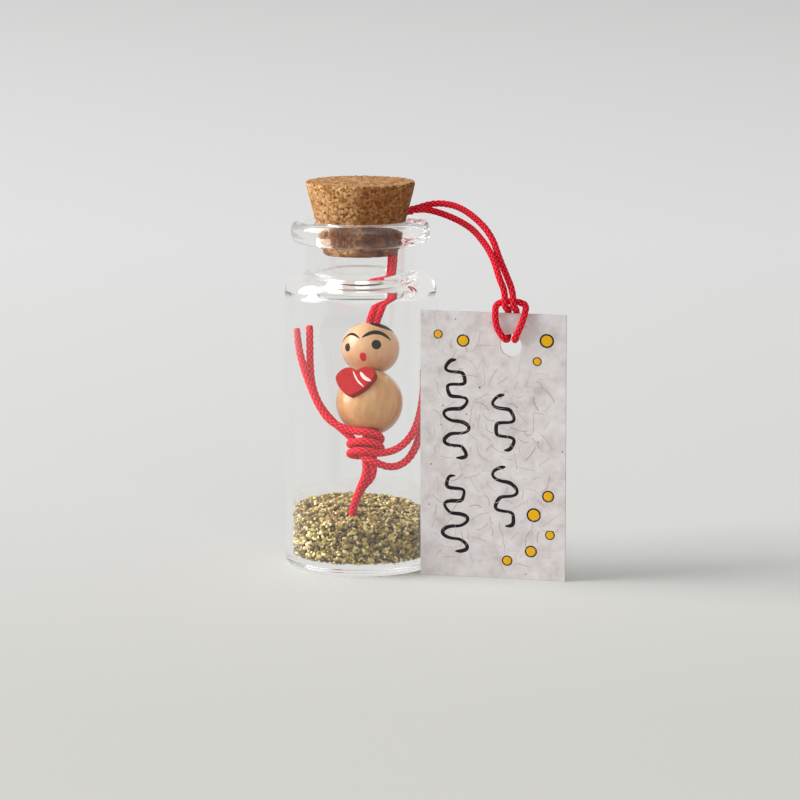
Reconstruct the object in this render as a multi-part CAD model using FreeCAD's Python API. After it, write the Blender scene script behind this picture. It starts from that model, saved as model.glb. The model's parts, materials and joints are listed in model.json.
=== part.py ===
import FreeCAD, Part
import math
import os

Vector = FreeCAD.Vector

# A corked glass vial with a bead doll on a cord, a bed of granules and a paper tag.
# Millimetres, +Z up, origin at the centre of the base, the viewer on the -Y side.

# Glass bottle
bottle_height = 50.5
body_diameter = 21.9
body_wall = 0.95
base_thickness = 1.3
base_corner_radius = 1.5
floor_corner_radius = 1.0
shoulder_height = 42.7
shoulder_wall = 1.3
shoulder_radius = 2.4
inner_shoulder_radius = 2.0
neck_diameter = 15.8
neck_fillet_radius = 0.6
throat_radius = 1.0
bore_diameter = 12.9
mouth_radius = 0.6
rim_diameter = 20.0
rim_height = 3.2
rim_corner_radius = 1.1
rim_fillet_radius = 0.4

# Cork stopper
cork_top_diameter = 16.0
cork_bottom_diameter = 10.6
cork_length = 10.5
cork_edge_radius = 0.3
cork_seat_gap = 0.03

# Red cord, and where its two strands leave the mouth
cord_diameter = 1.0
cord_gap = 0.06
strand_spacing = 1.06
exit_azimuth = 32.0
exit_rise = 0.3
rim_overhang_share = 0.87
straight_neck_length = 5.1
exit_lead = 1.3
bend_run_share = 0.45

# Wooden beads of the doll
body_bead_diameter = 9.58
body_bead_length = 8.84
head_bead_diameter = 8.5
head_bead_length = 6.8
bead_hole_diameter = 3.0
bead_lip = 0.35
bead_gap = 0.1
head_lift = 0.3
body_bead_right = 1.25
body_bead_forward = 1.9
body_bead_height = 24.2
body_axis = Vector(0, 0.51, 1)
head_axis = Vector(0.05, 0.38, 1)

# Heart on the body bead
heart_width = 6.4
heart_height = 4.5
heart_thickness = 0.9
heart_seat_depth = 0.25
heart_corner_radius = 0.45
heart_edge_radius = 0.15
heart_turn = 8.0
heart_facing = Vector(-0.37, -0.57, 0.52)
heart_lobe_share = 0.25
heart_shoulder_share = 0.27
heart_notch_share = 0.46
heart_tip_share = 0.42
heart_bow_shares = (0.715, 0.5)

# Knot under the body bead
knot_turns = 2.5
knot_pitch = 1.45
knot_coil_radius = 2.3
knot_side_offset = 0.6
knot_drop = 0.3
knot_points_per_turn = 8
knot_start_angle = 100.0
leg_lead = 0.9

# Bed of granules
bed_height = 9.3
bed_gap = 0.1
bed_crown_radius = 84.0
bed_crown_left = 3.2
bed_crown_back = 7.0
lump_spacing = 2.6
lump_radius = 1.0
lump_rise = 0.4

# Message tag
tag_width = 21.4
tag_height = 38.38
tag_thickness = 0.4
tag_turn = 16.24
tag_floor_gap = 0.02
tag_corner_right = 8.57
tag_corner_forward = 7.65
tag_hole_diameter = 3.2
tag_hole_from_left = 13.33
tag_hole_from_top = 4.6

# Hitch of the cord through the tag's hole
hitch_spacing = 1.2
hitch_front_offset = 1.15
hitch_back_offset = 1.2
hitch_over_edge = 0.7
hitch_in_hole = 0.8
hitch_leg_offset = 0.85
hitch_pivot_height = 3.3
hitch_bar_reach_left = 2.15
hitch_bar_reach_right = 2.4
hinge_gap = 0.2

overrun = 1.0

# Values that follow from the sizes above
body_radius = body_diameter / 2
inner_radius = body_radius - body_wall
bore_radius = bore_diameter / 2
cord_radius = cord_diameter / 2
up = Vector(0, 0, 1)
body_bead_center = Vector(body_bead_right, -body_bead_forward, body_bead_height)
body_axis.normalize()
head_axis.normalize()
half_spacing = strand_spacing / 2

# Hand-chosen points of the cord's free stretches, from the mouth or the knot outwards
neck_points_front = [
    Vector(4.95, 2.75, 42.6),
    Vector(4.75, 2.75, 40.9),
    Vector(3.75, 2.45, 39.0),
    Vector(2.95, 2.1, 37.0),
]
neck_points_back = [
    Vector(4.5, 3.75, 42.5),
    Vector(4.25, 3.75, 40.9),
    Vector(3.05, 3.2, 39.3),
    Vector(1.9, 2.45, 37.2),
]
hang_points_upper = [
    Vector(9.75, 6.1, 52.0),
    Vector(11.5, 5.75, 52.25),
    Vector(13.15, 4.6, 52.15),
    Vector(14.5, 2.8, 51.85),
    Vector(15.75, 0.5, 51.3),
    Vector(17.0, -2.2, 50.5),
    Vector(18.1, -4.3, 49.5),
    Vector(19.05, -5.8, 48.0),
    Vector(19.65, -7.7, 46.2),
    Vector(20.6, -9.9, 44.0),
]
hang_points_lower = [
    Vector(10.3, 5.2, 51.25),
    Vector(12.05, 4.85, 50.75),
    Vector(13.7, 3.65, 50.2),
    Vector(15.05, 1.9, 49.65),
    Vector(16.2, -0.6, 49.1),
    Vector(17.25, -3.6, 48.2),
    Vector(18.3, -6.9, 47.0),
    Vector(19.1, -9.8, 45.5),
    Vector(19.65, -12.0, 43.5),
]
left_outer_points = [
    Vector(-1.3, -5.5, 20.0),
    Vector(-4.2, -4.7, 21.6),
    Vector(-5.85, -3.8, 23.8),
    Vector(-7.0, -2.9, 26.3),
    Vector(-8.1, -1.9, 29.2),
    Vector(-9.0, -0.9, 32.2),
    Vector(-9.3, -0.2, 34.8),
]
left_inner_points = [
    Vector(-1.4, -4.2, 19.5),
    Vector(-4.2, -3.4, 21.8),
    Vector(-6.0, -2.4, 24.0),
    Vector(-7.0, -1.55, 26.5),
    Vector(-7.3, -0.85, 29.3),
    Vector(-7.35, -0.3, 32.3),
    Vector(-7.4, 0.1, 35.2),
]
right_upper_points = [
    Vector(2.2, -7.3, 17.4),
    Vector(5.2, -6.0, 17.9),
    Vector(7.4, -4.3, 19.9),
    Vector(8.45, -2.9, 22.7),
    Vector(8.95, -2.0, 25.8),
    Vector(9.15, -1.3, 28.8),
    Vector(9.2, -0.7, 31.6),
]
right_lower_points = [
    Vector(1.4, -7.75, 16.7),
    Vector(4.1, -7.0, 15.4),
    Vector(6.3, -5.4, 15.9),
    Vector(7.8, -3.8, 17.9),
    Vector(8.65, -2.2, 20.6),
    Vector(9.0, -0.8, 23.4),
    Vector(9.2, 0.3, 26.2),
    Vector(9.2, 1.1, 28.8),
]
leg_front_points = [
    Vector(0.42, -7.1, 13.8),
    Vector(-0.12, -7.0, 12.6),
    Vector(-0.48, -6.6, 11.4),
    Vector(-0.88, -6.0, 10.2),
    Vector(-1.12, -5.3, 9.0),
    Vector(-1.35, -4.6, 7.8),
    Vector(-1.5, -4.1, 6.9),
]
leg_back_points = [
    Vector(1.5, -6.25, 13.8),
    Vector(0.45, -5.85, 12.7),
    Vector(-0.25, -5.35, 11.5),
    Vector(-0.7, -4.7, 10.3),
    Vector(-1.0, -4.0, 9.1),
    Vector(-1.2, -3.3, 7.9),
    Vector(-1.3, -2.8, 6.9),
]
# Points of the hitch's two legs: across from the hole's centre, and up from it
hitch_left_points = [(-1.85, 2.4), (-2.15, 4.3)]
hitch_right_points = [(1.55, 2.6), (2.2, 4.5)]


def rounded_path(points, radii, closed=False):
    """Straight runs joined by tangent arcs, with one radius for each point and zero for a sharp one."""
    count = len(points)
    entries = []
    leaves = []
    middles = []
    for index, point in enumerate(points):
        inner = closed or 0 < index < count - 1
        radius = radii[index] if inner else 0
        back = (points[index - 1] - point) if inner else Vector(0, 0, 0)
        ahead = (points[(index + 1) % count] - point) if inner else Vector(0, 0, 0)
        if radius > 0:
            back.normalize()
            ahead.normalize()
            half_turn = (math.pi - back.getAngle(ahead)) / 2
            cut = radius * math.tan(half_turn)
            bisector = back + ahead
            bisector.normalize()
            entries.append(point + back * cut)
            leaves.append(point + ahead * cut)
            middles.append(point + bisector * (radius / math.cos(half_turn) - radius))
        else:
            entries.append(point)
            leaves.append(point)
            middles.append(None)
    edges = []
    for index in range(count):
        if middles[index] is not None:
            edges.append(Part.Arc(entries[index], middles[index], leaves[index]).toShape())
        follower = (index + 1) % count
        if follower or closed:
            run = entries[follower] - leaves[index]
            if run.Length > Part.Vertex(run).Tolerance:
                edges.append(Part.LineSegment(leaves[index], entries[follower]).toShape())
    return Part.Wire(edges)


def turned(corners):
    """A solid of revolution about Z from corners of radius, height and rounding."""
    points = [Vector(radius, 0, height) for radius, height, rounding in corners]
    roundings = [rounding for radius, height, rounding in corners]
    face = Part.Face(rounded_path(points, roundings, closed=True))
    return face.revolve(Vector(0, 0, 0), up, 360)


def cord_bends(points):
    """The largest tangent arc that the two runs beside each point have room for."""
    radii = [0]
    for before, point, after in zip(points, points[1:], points[2:]):
        shorter = min((point - before).Length, (after - point).Length)
        turn = (point - before).getAngle(after - point)
        radii.append(bend_run_share * shorter / math.tan(turn / 2))
    radii.append(0)
    return radii


def cord(points, name):
    """A tube of the cord's diameter along straight runs and tangent arcs."""
    radii = cord_bends(points)
    path = rounded_path(points, radii)
    section = Part.Wire(Part.Circle(points[0], points[1] - points[0], cord_radius).toShape())
    tube = path.makePipeShell([section], True, False)
    plain_volume = math.pi * cord_radius ** 2 * path.Length
    print(f"{name}: length {path.Length:.1f}, least bend radius {min(radii[1:-1]):.2f},",
          f"volume {tube.Volume / plain_volume:.4f} of section times length")
    return tube


def glass_bottle():
    inner_shoulder = shoulder_height - shoulder_wall
    rim_underside = bottle_height - rim_height
    return turned([
        (0, 0, 0),
        (body_radius, 0, base_corner_radius),
        (body_radius, shoulder_height, shoulder_radius),
        (neck_diameter / 2, shoulder_height, neck_fillet_radius),
        (neck_diameter / 2, rim_underside, rim_fillet_radius),
        (rim_diameter / 2, rim_underside, rim_corner_radius),
        (rim_diameter / 2, bottle_height, rim_corner_radius),
        (bore_radius, bottle_height, mouth_radius),
        (bore_radius, inner_shoulder, throat_radius),
        (inner_radius, inner_shoulder, inner_shoulder_radius),
        (inner_radius, base_thickness, floor_corner_radius),
        (0, base_thickness, 0),
    ])


def exit_point(side, radius, height):
    """A point on a strand beside the mouth, with side -1 for the front strand and 1 for the back one."""
    angle = math.radians(exit_azimuth)
    outward = Vector(math.cos(angle), math.sin(angle), 0)
    along_rim = Vector(-math.sin(angle), math.cos(angle), 0)
    return outward * radius + along_rim * (side * half_spacing) + up * height


neck_strand_radius = math.sqrt((bore_radius - cord_radius - cord_gap) ** 2 - half_spacing ** 2)
over_mouth = bottle_height + cord_radius + cord_gap
rim_reach = rim_diameter / 2 * rim_overhang_share


def cork_stopper():
    """A cone that hangs on the rounded mouth, with the dent that the two strands press into its side."""
    top_radius = cork_top_diameter / 2
    bottom_radius = cork_bottom_diameter / 2
    taper = (top_radius - bottom_radius) / cork_length
    slant = math.sqrt(1 + taper ** 2)
    reach = bore_radius + mouth_radius - bottom_radius - (mouth_radius + cork_seat_gap) * slant
    bottom = bottle_height - mouth_radius - reach / taper
    top = bottom + cork_length
    cone = turned([
        (0, bottom, 0),
        (bottom_radius, bottom, cork_edge_radius),
        (top_radius, top, cork_edge_radius),
        (0, top, 0),
    ])
    room = cord_radius + cord_gap
    dent_bottom = bottom - overrun
    inner = neck_strand_radius - room
    outer = top_radius + overrun
    dent = [exit_point(side * (1 + room / half_spacing), radius, dent_bottom)
            for radius, side in ((inner, -1), (outer, -1), (outer, 1), (inner, 1))]
    outline = rounded_path(dent, [cord_radius, 0, 0, cord_radius], closed=True)
    dent_top = over_mouth + exit_rise + room
    return cone.cut(Part.Face(outline).extrude(up * (dent_top - dent_bottom)))


def bead(diameter, length, center, axis):
    """A drilled round bead with a flat lip round each end of its hole."""
    hole_radius = bead_hole_diameter / 2
    lip_radius = hole_radius + bead_lip
    half = length / 2
    lower_lip = Vector(lip_radius, 0, -half)
    upper_lip = Vector(lip_radius, 0, half)
    round_side = Part.Arc(lower_lip, Vector(diameter / 2, 0, 0), upper_lip)
    hole_side = Part.makePolygon([
        upper_lip,
        Vector(hole_radius, 0, half),
        Vector(hole_radius, 0, -half),
        lower_lip,
    ])
    profile = Part.Face(Part.Wire([round_side.toShape()] + hole_side.Edges))
    solid = profile.revolve(Vector(0, 0, 0), up, 360)
    solid.Placement = FreeCAD.Placement(center, FreeCAD.Rotation(up, axis))
    return solid


body_top = body_bead_center + body_axis * (body_bead_length / 2)
head_bead_center = body_top + head_axis * (head_lift + head_bead_length / 2)
head_top = head_bead_center + head_axis * (head_bead_length / 2)
knot_top = body_bead_center - body_axis * (body_bead_length / 2 + bead_gap)
knot_length = knot_turns * knot_pitch + cord_diameter
strand_end = knot_top - body_axis * (knot_length + knot_drop)


def heart(body_bead):
    """A flat heart of two round lobes and a point, let into the round of the body bead."""
    half_width = heart_width / 2
    lobe = heart_width * heart_lobe_share
    lobe_center = half_width - lobe
    level = heart_height * heart_shoulder_share
    tip = heart_height * heart_tip_share
    shoulder = Vector(half_width, level, 0)
    lobe_top = Vector(lobe_center, level + lobe, 0)
    notch_point = Vector(0, heart_height * heart_notch_share, 0)
    tip_point = Vector(0, -tip, 0)

    def mirrored(point):
        return Vector(-point.x, point.y, point.z)

    right = Part.Arc(shoulder, lobe_top, notch_point).toShape()
    left = Part.Arc(notch_point, mirrored(lobe_top), mirrored(shoulder)).toShape()
    across_share, down_share = heart_bow_shares
    side_bow = Vector(half_width * across_share, level - (level + tip) * down_share, 0)
    left_side = Part.Arc(mirrored(shoulder), mirrored(side_bow), tip_point).toShape()
    right_side = Part.Arc(tip_point, side_bow, shoulder).toShape()
    plate = Part.Face(Part.Wire([right, left, left_side, right_side])).extrude(up * heart_thickness)
    corner_edges = [edge for edge in plate.Edges if edge.BoundBox.ZLength > heart_thickness / 2]
    plate = plate.makeFillet(heart_corner_radius, corner_edges)
    front_edges = [edge for edge in plate.Edges if edge.BoundBox.ZMin > heart_thickness / 2]
    plate = plate.makeFillet(heart_edge_radius, front_edges)
    facing = Vector(heart_facing)
    facing.normalize()
    upright = FreeCAD.Rotation(facing.cross(up) * -1, up, facing, "ZXY")
    turn = FreeCAD.Rotation(up, heart_turn)
    seat = body_bead_center + facing * (body_bead_diameter / 2 - heart_seat_depth)
    plate.Placement = FreeCAD.Placement(seat, upright.multiply(turn))
    return plate.cut(body_bead)


def strand_at(side, place):
    """A strand's point beside a bead's axis, with side 1 for the right and -1 for the left."""
    return place + Vector(side * half_spacing, 0, 0)


def neck_cord(side, middle_points, name):
    """One strand over the rim, down the neck, through both beads and the knot."""
    below_mouth = bottle_height - mouth_radius - straight_neck_length
    start = [
        exit_point(side, rim_reach, over_mouth + exit_rise),
        exit_point(side, neck_strand_radius, over_mouth),
        exit_point(side, neck_strand_radius, below_mouth),
    ]
    through = [strand_at(-side, place) for place in (head_top, body_top, strand_end)]
    return cord(start + middle_points + through, name)


def hang_cord(side, points, name):
    """One strand from the rim to just above the hitch's pivot."""
    rise = exit_rise * (1 + exit_lead / (rim_reach - neck_strand_radius))
    start = [
        exit_point(side, rim_reach, over_mouth + exit_rise),
        exit_point(side, rim_reach + exit_lead, over_mouth + rise),
    ]
    pivot = hitch_end(side)
    approach = pivot - points[-1]
    approach.normalize()
    end = pivot - approach * (cord_radius + hinge_gap)
    return cord(start + points + [end], name)


def leg(side, points, name):
    """A strand's end, from the knot down into the granules."""
    start = [strand_at(side, strand_end), strand_at(side, strand_end - body_axis * leg_lead)]
    return cord(start + points, name)


def waist_knot():
    """The knot's wraps, one tube wound round the two strands."""
    center = knot_top - Vector(knot_side_offset, 0, 0) - body_axis * cord_radius
    side = Vector(1, 0, 0)
    front = body_axis.cross(side)
    points = []
    for step in range(int(knot_turns * knot_points_per_turn) + 1):
        turn = step / knot_points_per_turn
        angle = math.radians(knot_start_angle) + 2 * math.pi * turn
        around = side * math.cos(angle) + front * math.sin(angle)
        points.append(center + around * knot_coil_radius - body_axis * (knot_pitch * turn))
    print(f"waist_knot: least gap between wraps {knot_pitch - cord_diameter:.2f}")
    return cord(points, "waist_knot")


def granule_lumps(crown_center, reach):
    """The larger granules that stand out of the crown, as balls in staggered rows."""
    row_spacing = lump_spacing * math.sqrt(3) / 2
    rows = math.ceil(reach / row_spacing)
    places = math.ceil(reach / lump_spacing) + 1
    lumps = []
    for row in range(-rows, rows + 1):
        for place in range(-places, places + 1):
            x = lump_spacing * (place + (row % 2) / 2)
            y = row_spacing * row
            if math.hypot(x, y) > reach:
                continue
            outward = Vector(x - crown_center.x, y - crown_center.y, 0)
            height = crown_center.z + math.sqrt(bed_crown_radius ** 2 - outward.Length ** 2)
            lumps.append(Part.makeSphere(lump_radius, Vector(x, y, height + lump_rise - lump_radius)))
    return lumps


def gold_granules(buried):
    """The heap of granules, crowned and higher at the back, with hollows where the legs stand in it."""
    radius = inner_radius - bed_gap
    heap = turned([
        (0, base_thickness, 0),
        (radius, base_thickness, floor_corner_radius),
        (radius, shoulder_height, 0),
        (0, shoulder_height, 0),
    ])
    crown_center = Vector(-bed_crown_left, bed_crown_back, bed_height - bed_crown_radius)
    heap = heap.common(Part.makeSphere(bed_crown_radius, crown_center))
    heap = heap.fuse(granule_lumps(crown_center, radius - lump_radius))
    for piece in buried:
        heap = heap.cut(piece)
    return heap


def tag_placement():
    corner = Vector(tag_corner_right, -tag_corner_forward, tag_floor_gap)
    return FreeCAD.Placement(corner, FreeCAD.Rotation(up, -tag_turn))


def on_tag(across, forward, height):
    """A point given by its distance from the tag's left edge, front face and bottom edge."""
    return tag_placement().multVec(Vector(across, -forward, height))


def message_tag():
    sheet = Part.makeBox(tag_width, tag_thickness, tag_height)
    hole_height = tag_height - tag_hole_from_top
    start = Vector(tag_hole_from_left, -overrun, hole_height)
    depth = tag_thickness + 2 * overrun
    drill = Part.makeCylinder(tag_hole_diameter / 2, depth, start, Vector(0, 1, 0))
    sheet = sheet.cut(drill)
    sheet.Placement = tag_placement()
    return sheet


def hitch_strand(side):
    """Where a strand of the hitch passes behind the tag, with side -1 for the left one."""
    return tag_hole_from_left + side * hitch_spacing / 2


def hitch_end(side):
    """The top of the hitch, on its pivot: the front strand from the mouth is the left one here."""
    return on_tag(hitch_strand(side), hitch_front_offset, tag_height + hitch_pivot_height)


def tag_hitch():
    """A lark's head: both strands pass through their own loop, behind the tag and out of its hole."""
    behind = -tag_thickness - hitch_back_offset + cord_radius
    over = tag_height + hitch_over_edge
    hole_height = tag_height - tag_hole_from_top
    through = hole_height + hitch_in_hole
    bend = bend_run_share * (hitch_front_offset - behind)
    bar_forward = hitch_front_offset - bend
    bar_height = over + bend

    def half_loop(side, leg_points, bar_reach):
        strand = hitch_strand(side)
        legs = [on_tag(tag_hole_from_left + across, hitch_leg_offset, hole_height + rise)
                for across, rise in leg_points]
        return [
            on_tag(strand, hitch_front_offset, tag_height + hitch_pivot_height),
            on_tag(strand, hitch_front_offset, over),
            on_tag(strand, behind, over),
            on_tag(strand, behind, through),
            on_tag(strand, hitch_leg_offset, through),
        ] + legs + [on_tag(tag_hole_from_left + side * bar_reach, bar_forward, bar_height)]

    left = half_loop(-1, hitch_left_points, hitch_bar_reach_left)
    right = half_loop(1, hitch_right_points, hitch_bar_reach_right)
    loop = cord(left + right[::-1], "tag_hitch")
    for side in (-1, 1):
        loop = loop.fuse(Part.makeSphere(cord_radius, hitch_end(side)))
    return loop.removeSplitter()


os.makedirs("parts", exist_ok=True)
body_bead = bead(body_bead_diameter, body_bead_length, body_bead_center, body_axis)
leg_front = leg(-1, leg_front_points, "leg_front")
leg_back = leg(1, leg_back_points, "leg_back")
pieces = {
    "glass_bottle": glass_bottle(),
    "cork_stopper": cork_stopper(),
    "gold_granules": gold_granules([leg_front, leg_back]),
    "neck_cord_front": neck_cord(-1, neck_points_front, "neck_cord_front"),
    "neck_cord_back": neck_cord(1, neck_points_back, "neck_cord_back"),
    "head_bead": bead(head_bead_diameter, head_bead_length, head_bead_center, head_axis),
    "body_bead": body_bead,
    "heart": heart(body_bead),
    "waist_knot": waist_knot(),
    "left_arm_outer": cord(left_outer_points, "left_arm_outer"),
    "left_arm_inner": cord(left_inner_points, "left_arm_inner"),
    "right_arm_upper": cord(right_upper_points, "right_arm_upper"),
    "right_arm_lower": cord(right_lower_points, "right_arm_lower"),
    "leg_front": leg_front,
    "leg_back": leg_back,
    "hang_cord_upper": hang_cord(1, hang_points_upper, "hang_cord_upper"),
    "hang_cord_lower": hang_cord(-1, hang_points_lower, "hang_cord_lower"),
    "tag_hitch": tag_hitch(),
    "message_tag": message_tag(),
}
for node, shape in pieces.items():
    shape.exportStep(f"parts/{node}.step")
    print(f"{node}: {len(shape.Solids)} solid, valid {shape.isValid()}, {shape.Volume:.2f} mm3")
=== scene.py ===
import json
import math

import bmesh
import bpy
from mathutils import Matrix, Vector, noise


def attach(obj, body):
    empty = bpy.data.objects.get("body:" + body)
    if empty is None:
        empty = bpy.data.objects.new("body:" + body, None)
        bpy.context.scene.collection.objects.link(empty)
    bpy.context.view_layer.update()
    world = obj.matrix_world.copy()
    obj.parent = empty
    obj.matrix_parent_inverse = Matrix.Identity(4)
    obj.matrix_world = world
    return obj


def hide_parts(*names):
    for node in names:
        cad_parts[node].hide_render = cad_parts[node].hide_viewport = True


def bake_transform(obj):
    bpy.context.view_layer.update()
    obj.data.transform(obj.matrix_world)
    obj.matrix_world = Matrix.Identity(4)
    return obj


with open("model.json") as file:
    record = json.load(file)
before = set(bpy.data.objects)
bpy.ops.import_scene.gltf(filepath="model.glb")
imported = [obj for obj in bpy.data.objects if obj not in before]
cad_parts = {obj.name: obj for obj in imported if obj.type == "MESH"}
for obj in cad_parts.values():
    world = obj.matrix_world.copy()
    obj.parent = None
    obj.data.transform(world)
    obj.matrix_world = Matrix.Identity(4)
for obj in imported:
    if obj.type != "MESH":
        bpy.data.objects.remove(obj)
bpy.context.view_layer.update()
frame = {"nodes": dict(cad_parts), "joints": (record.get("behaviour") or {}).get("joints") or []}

# A corked vial with a bead doll, granules and a paper tag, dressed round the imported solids.
# Metres, +Z up, the viewer on the -Y side.
MM = 0.001
UP = Vector((0, 0, 1))
SHARP_ANGLE = math.radians(40)
FULL_TURN = 6.28  # radians, for the random turns

# Glass bottle
BOTTLE_HEIGHT = 50.5 * MM
BODY_RADIUS = 10.95 * MM
BODY_WALL = 0.95 * MM
BASE_THICKNESS = 1.3 * MM
BASE_CORNER = 1.5 * MM
FLOOR_CORNER = 1.0 * MM
SHOULDER_HEIGHT = 42.7 * MM
SHOULDER_WALL = 1.3 * MM
SHOULDER_ROUNDING = 2.4 * MM
INNER_SHOULDER_ROUNDING = 2.0 * MM
NECK_RADIUS = 7.9 * MM
NECK_FILLET = 0.6 * MM
THROAT_ROUNDING = 1.0 * MM
BORE_RADIUS = 6.45 * MM
MOUTH_ROUNDING = 0.6 * MM
RIM_RADIUS = 10.0 * MM
RIM_HEIGHT = 3.2 * MM
RIM_CORNER = 1.1 * MM
RIM_FILLET = 0.4 * MM
INNER_RADIUS = BODY_RADIUS - BODY_WALL
LATHE_SEGMENTS = 128
POLE_RADIUS = 0.001 * MM
ARC_STEPS = 12
ARC_MARGIN = 0.02 * MM

# Cork
CORK_TOP_RADIUS = 8.0 * MM
CORK_BOTTOM_RADIUS = 5.3 * MM
CORK_EDGE = 0.3 * MM
CORK_STEP = 0.16 * MM
CORK_SEGMENTS = 256
CORK_SEAM_WIDTH = 0.22
CORK_HOLE_LEVEL = 0.3
CORK_HOLE_STEEPNESS = 4.0
CORK_HOLE_SHIFT = Vector((7, 3, 5))
CORK_SEAM_SHADE = 0.3
CORK_HOLE_SHADE = 0.7
CORK_SEAM_DEPTH = 0.05 * MM
CORK_HOLE_DEPTH = 0.2 * MM
CORK_CRUMB_DEPTH = 0.05 * MM
CORK_CHIP_DEPTH = 0.8 * MM
CORK_CHIP_REACH = 0.9 * MM
CORK_SEAMS_PER_MM = 2.0
CORK_HOLES_PER_MM = 2.4
CORK_CRUMBS_PER_MM = 3.7
CORK_CHIPS_PER_MM = 1.6
# Painted shade on the cork: in the neck below the rim, and on its side away from the window
CORK_NECK_SHADE_EDGE = 1.2 * MM
SHADE_SIDE_SPREAD = 11.0 * MM
SHADE_SIDE_START = 3.2 * MM
SHADE_SIDE_FULL = 6.4 * MM

# Red cord
CORD_DIAMETER = 1.0 * MM
CORD_RADIUS = CORD_DIAMETER / 2
CORD_GAP = 0.06 * MM
STRAND_SPACING = 1.06 * MM
EXIT_AZIMUTH = math.radians(32)
EXIT_RISE = 0.3 * MM
EXIT_LEAD = 1.3 * MM
EXIT_TURN_REACH = 0.9 * MM
EXIT_TURN_RISE = 0.1 * MM
EXIT_TURN_DROP = 0.25 * MM
EXIT_STRAIGHT = 1.6 * MM
RIM_REACH = 8.7 * MM
STRAIGHT_NECK = 5.1 * MM
ROUTE_STEPS = 16
ROUTE_ORDER = 3
BRAID_AROUND = 5
BRAID_PITCH = 0.84 * MM
BRAID_DEPTH_SHARE = 0.16
CORD_SIDES = 30
RINGS_PER_PITCH = 8
CORD_END_ROUNDING = 0.3 * MM
CORD_END_SHARE = 0.8
# The level of the stitches' painted highlight and shade on the cord's end caps
CORD_END_STITCH_LIGHT = 0.3
LOOSE_RADIUS = 0.56 * MM

# Beads of the doll
BEAD_HOLE_RADIUS = 1.5 * MM
BEAD_LIP_RADIUS = 1.85 * MM
BEAD_EDGE_ROUNDING = 0.18 * MM
BEAD_EDGE_SHARE = 0.3
BODY_BEAD_RADIUS = 4.79 * MM
BODY_BEAD_HALF = 4.42 * MM
HEAD_BEAD_RADIUS = 4.25 * MM
HEAD_BEAD_HALF = 3.4 * MM
BEAD_ARC_STEPS = 40
BEAD_GAP = 0.1 * MM

# Paint on the doll
FACE_TURN = math.radians(-20)
PAINT_HEIGHT = 0.03 * MM
PAINT_EDGE_SHARE = -0.3
SPOT_RINGS = 5
SPOT_SPOKES = 32
SPOT_FALL_SHARE = 1.3
BROW_STEPS = 24
BROW_TIP_SHARE = 0.2
HAIR_LOW = 2.2 * MM
HAIR_START = 0.1
HAIR_END = 1.75 * math.pi
HAIR_COLUMNS = 72
HAIR_ROWS = 6

# Heart on the body bead
HEART_FACING = Vector((-0.37, -0.57, 0.52)).normalized()
HEART_SEAT_DEPTH = 0.25 * MM
HEART_THICKNESS = 0.9 * MM
STROKE_STEPS = 12
STROKE_TIP_SHARE = 0.15
STROKE_SAG = Vector((-0.12, -0.22)) * MM

# Knot under the body bead
KNOT_TURNS = 2.25
KNOT_PITCH = 1.45 * MM
KNOT_COIL_RADIUS = 2.3 * MM
KNOT_LENGTH = 4.625 * MM
KNOT_DROP = 0.3 * MM
KNOT_SIDE_OFFSET = 0.6 * MM
KNOT_START = math.radians(230)
KNOT_POINTS_PER_TURN = 12
LEG_LEAD = 0.9 * MM

# Bed of granules
BED_HEIGHT = 9.3 * MM
BED_GAP = 0.1 * MM
BED_CROWN_RADIUS = 84.0 * MM
BED_CROWN_LEFT = 3.2 * MM
BED_CROWN_BACK = 7.0 * MM
LUMP_SPACING = 2.6 * MM
LUMP_RADIUS = 1.0 * MM
LUMP_RISE = 0.4 * MM
GRAIN_RADIUS = 0.44 * MM
GRAIN_SPACING = 0.3 * MM
GRAINS_PER_SQUARE_METRE = 7e6
GRAIN_LEAST = (0.55, 0.5, 0.35)
GRAIN_MOST = (1.2, 1.0, 0.75)
GRAIN_TILT = 1.0
GRAIN_INSET_SHARE = 0.9
GRAIN_LUMP_SIZE = 0.8 * MM
GRAIN_LUMP_DEPTH = 0.5 * MM
CORE_DEPTH = 0.25 * MM
HEAP_SPOKES = 128
HEAP_RINGS = 28
HEAP_LEVELS = 8

# Message tag
TAG_WIDTH = 21.4 * MM
TAG_HEIGHT = 38.38 * MM
TAG_THICKNESS = 0.4 * MM
TAG_TURN = math.radians(16.24)
TAG_CORNER = Vector((8.57, -7.65, 0.02)) * MM
TAG_HOLE_FROM_LEFT = 13.33 * MM
TAG_HOLE_FROM_TOP = 4.6 * MM
FIBRE_LENGTH = 3.0 * MM
FIBRE_RADIUS = 0.05 * MM
FIBRE_SPACING = 1.35 * MM
FIBRES_PER_SQUARE_METRE = 4e6
FIBRE_LEAST = (0.25, 0.3, 0.5)
FIBRE_MOST = (1.0, 1.0, 0.9)
FIBRE_MARGIN = 2.0 * MM
FIBRE_BELOW_HOLE = 8.6 * MM
FIBRE_BESIDE_HOLE = 9.4 * MM

# Ink on the tag
INK_HEIGHT = 0.02 * MM
PEN_WIDTH = 0.27 * MM
PEN_WOBBLE = 0.04 * MM
PEN_WOBBLE_RATE = 0.21
PEN_TIP_SHARE = 0.4
PEN_TIP_GROWTH = 0.2
WAVE_STEPS = 48
WAVE_SWING = 1.55 * MM
WAVE_CHANGE = 0.35 * MM
WAVE_CHANGE_RATE = 1.7
WAVE_SLANT = 0.27 * MM

# Hitch of the cord through the tag's hole
HITCH_SPACING = 1.2 * MM
HITCH_FRONT = 1.15 * MM
HITCH_BEHIND = -1.1 * MM
HITCH_OVER_EDGE = 0.7 * MM
HITCH_IN_HOLE = 0.8 * MM
HITCH_LEG_FORWARD = 0.85 * MM
HITCH_PIVOT = 3.3 * MM
HITCH_BAR_FORWARD = 0.14 * MM
HITCH_BAR_RISE = 1.71 * MM

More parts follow.
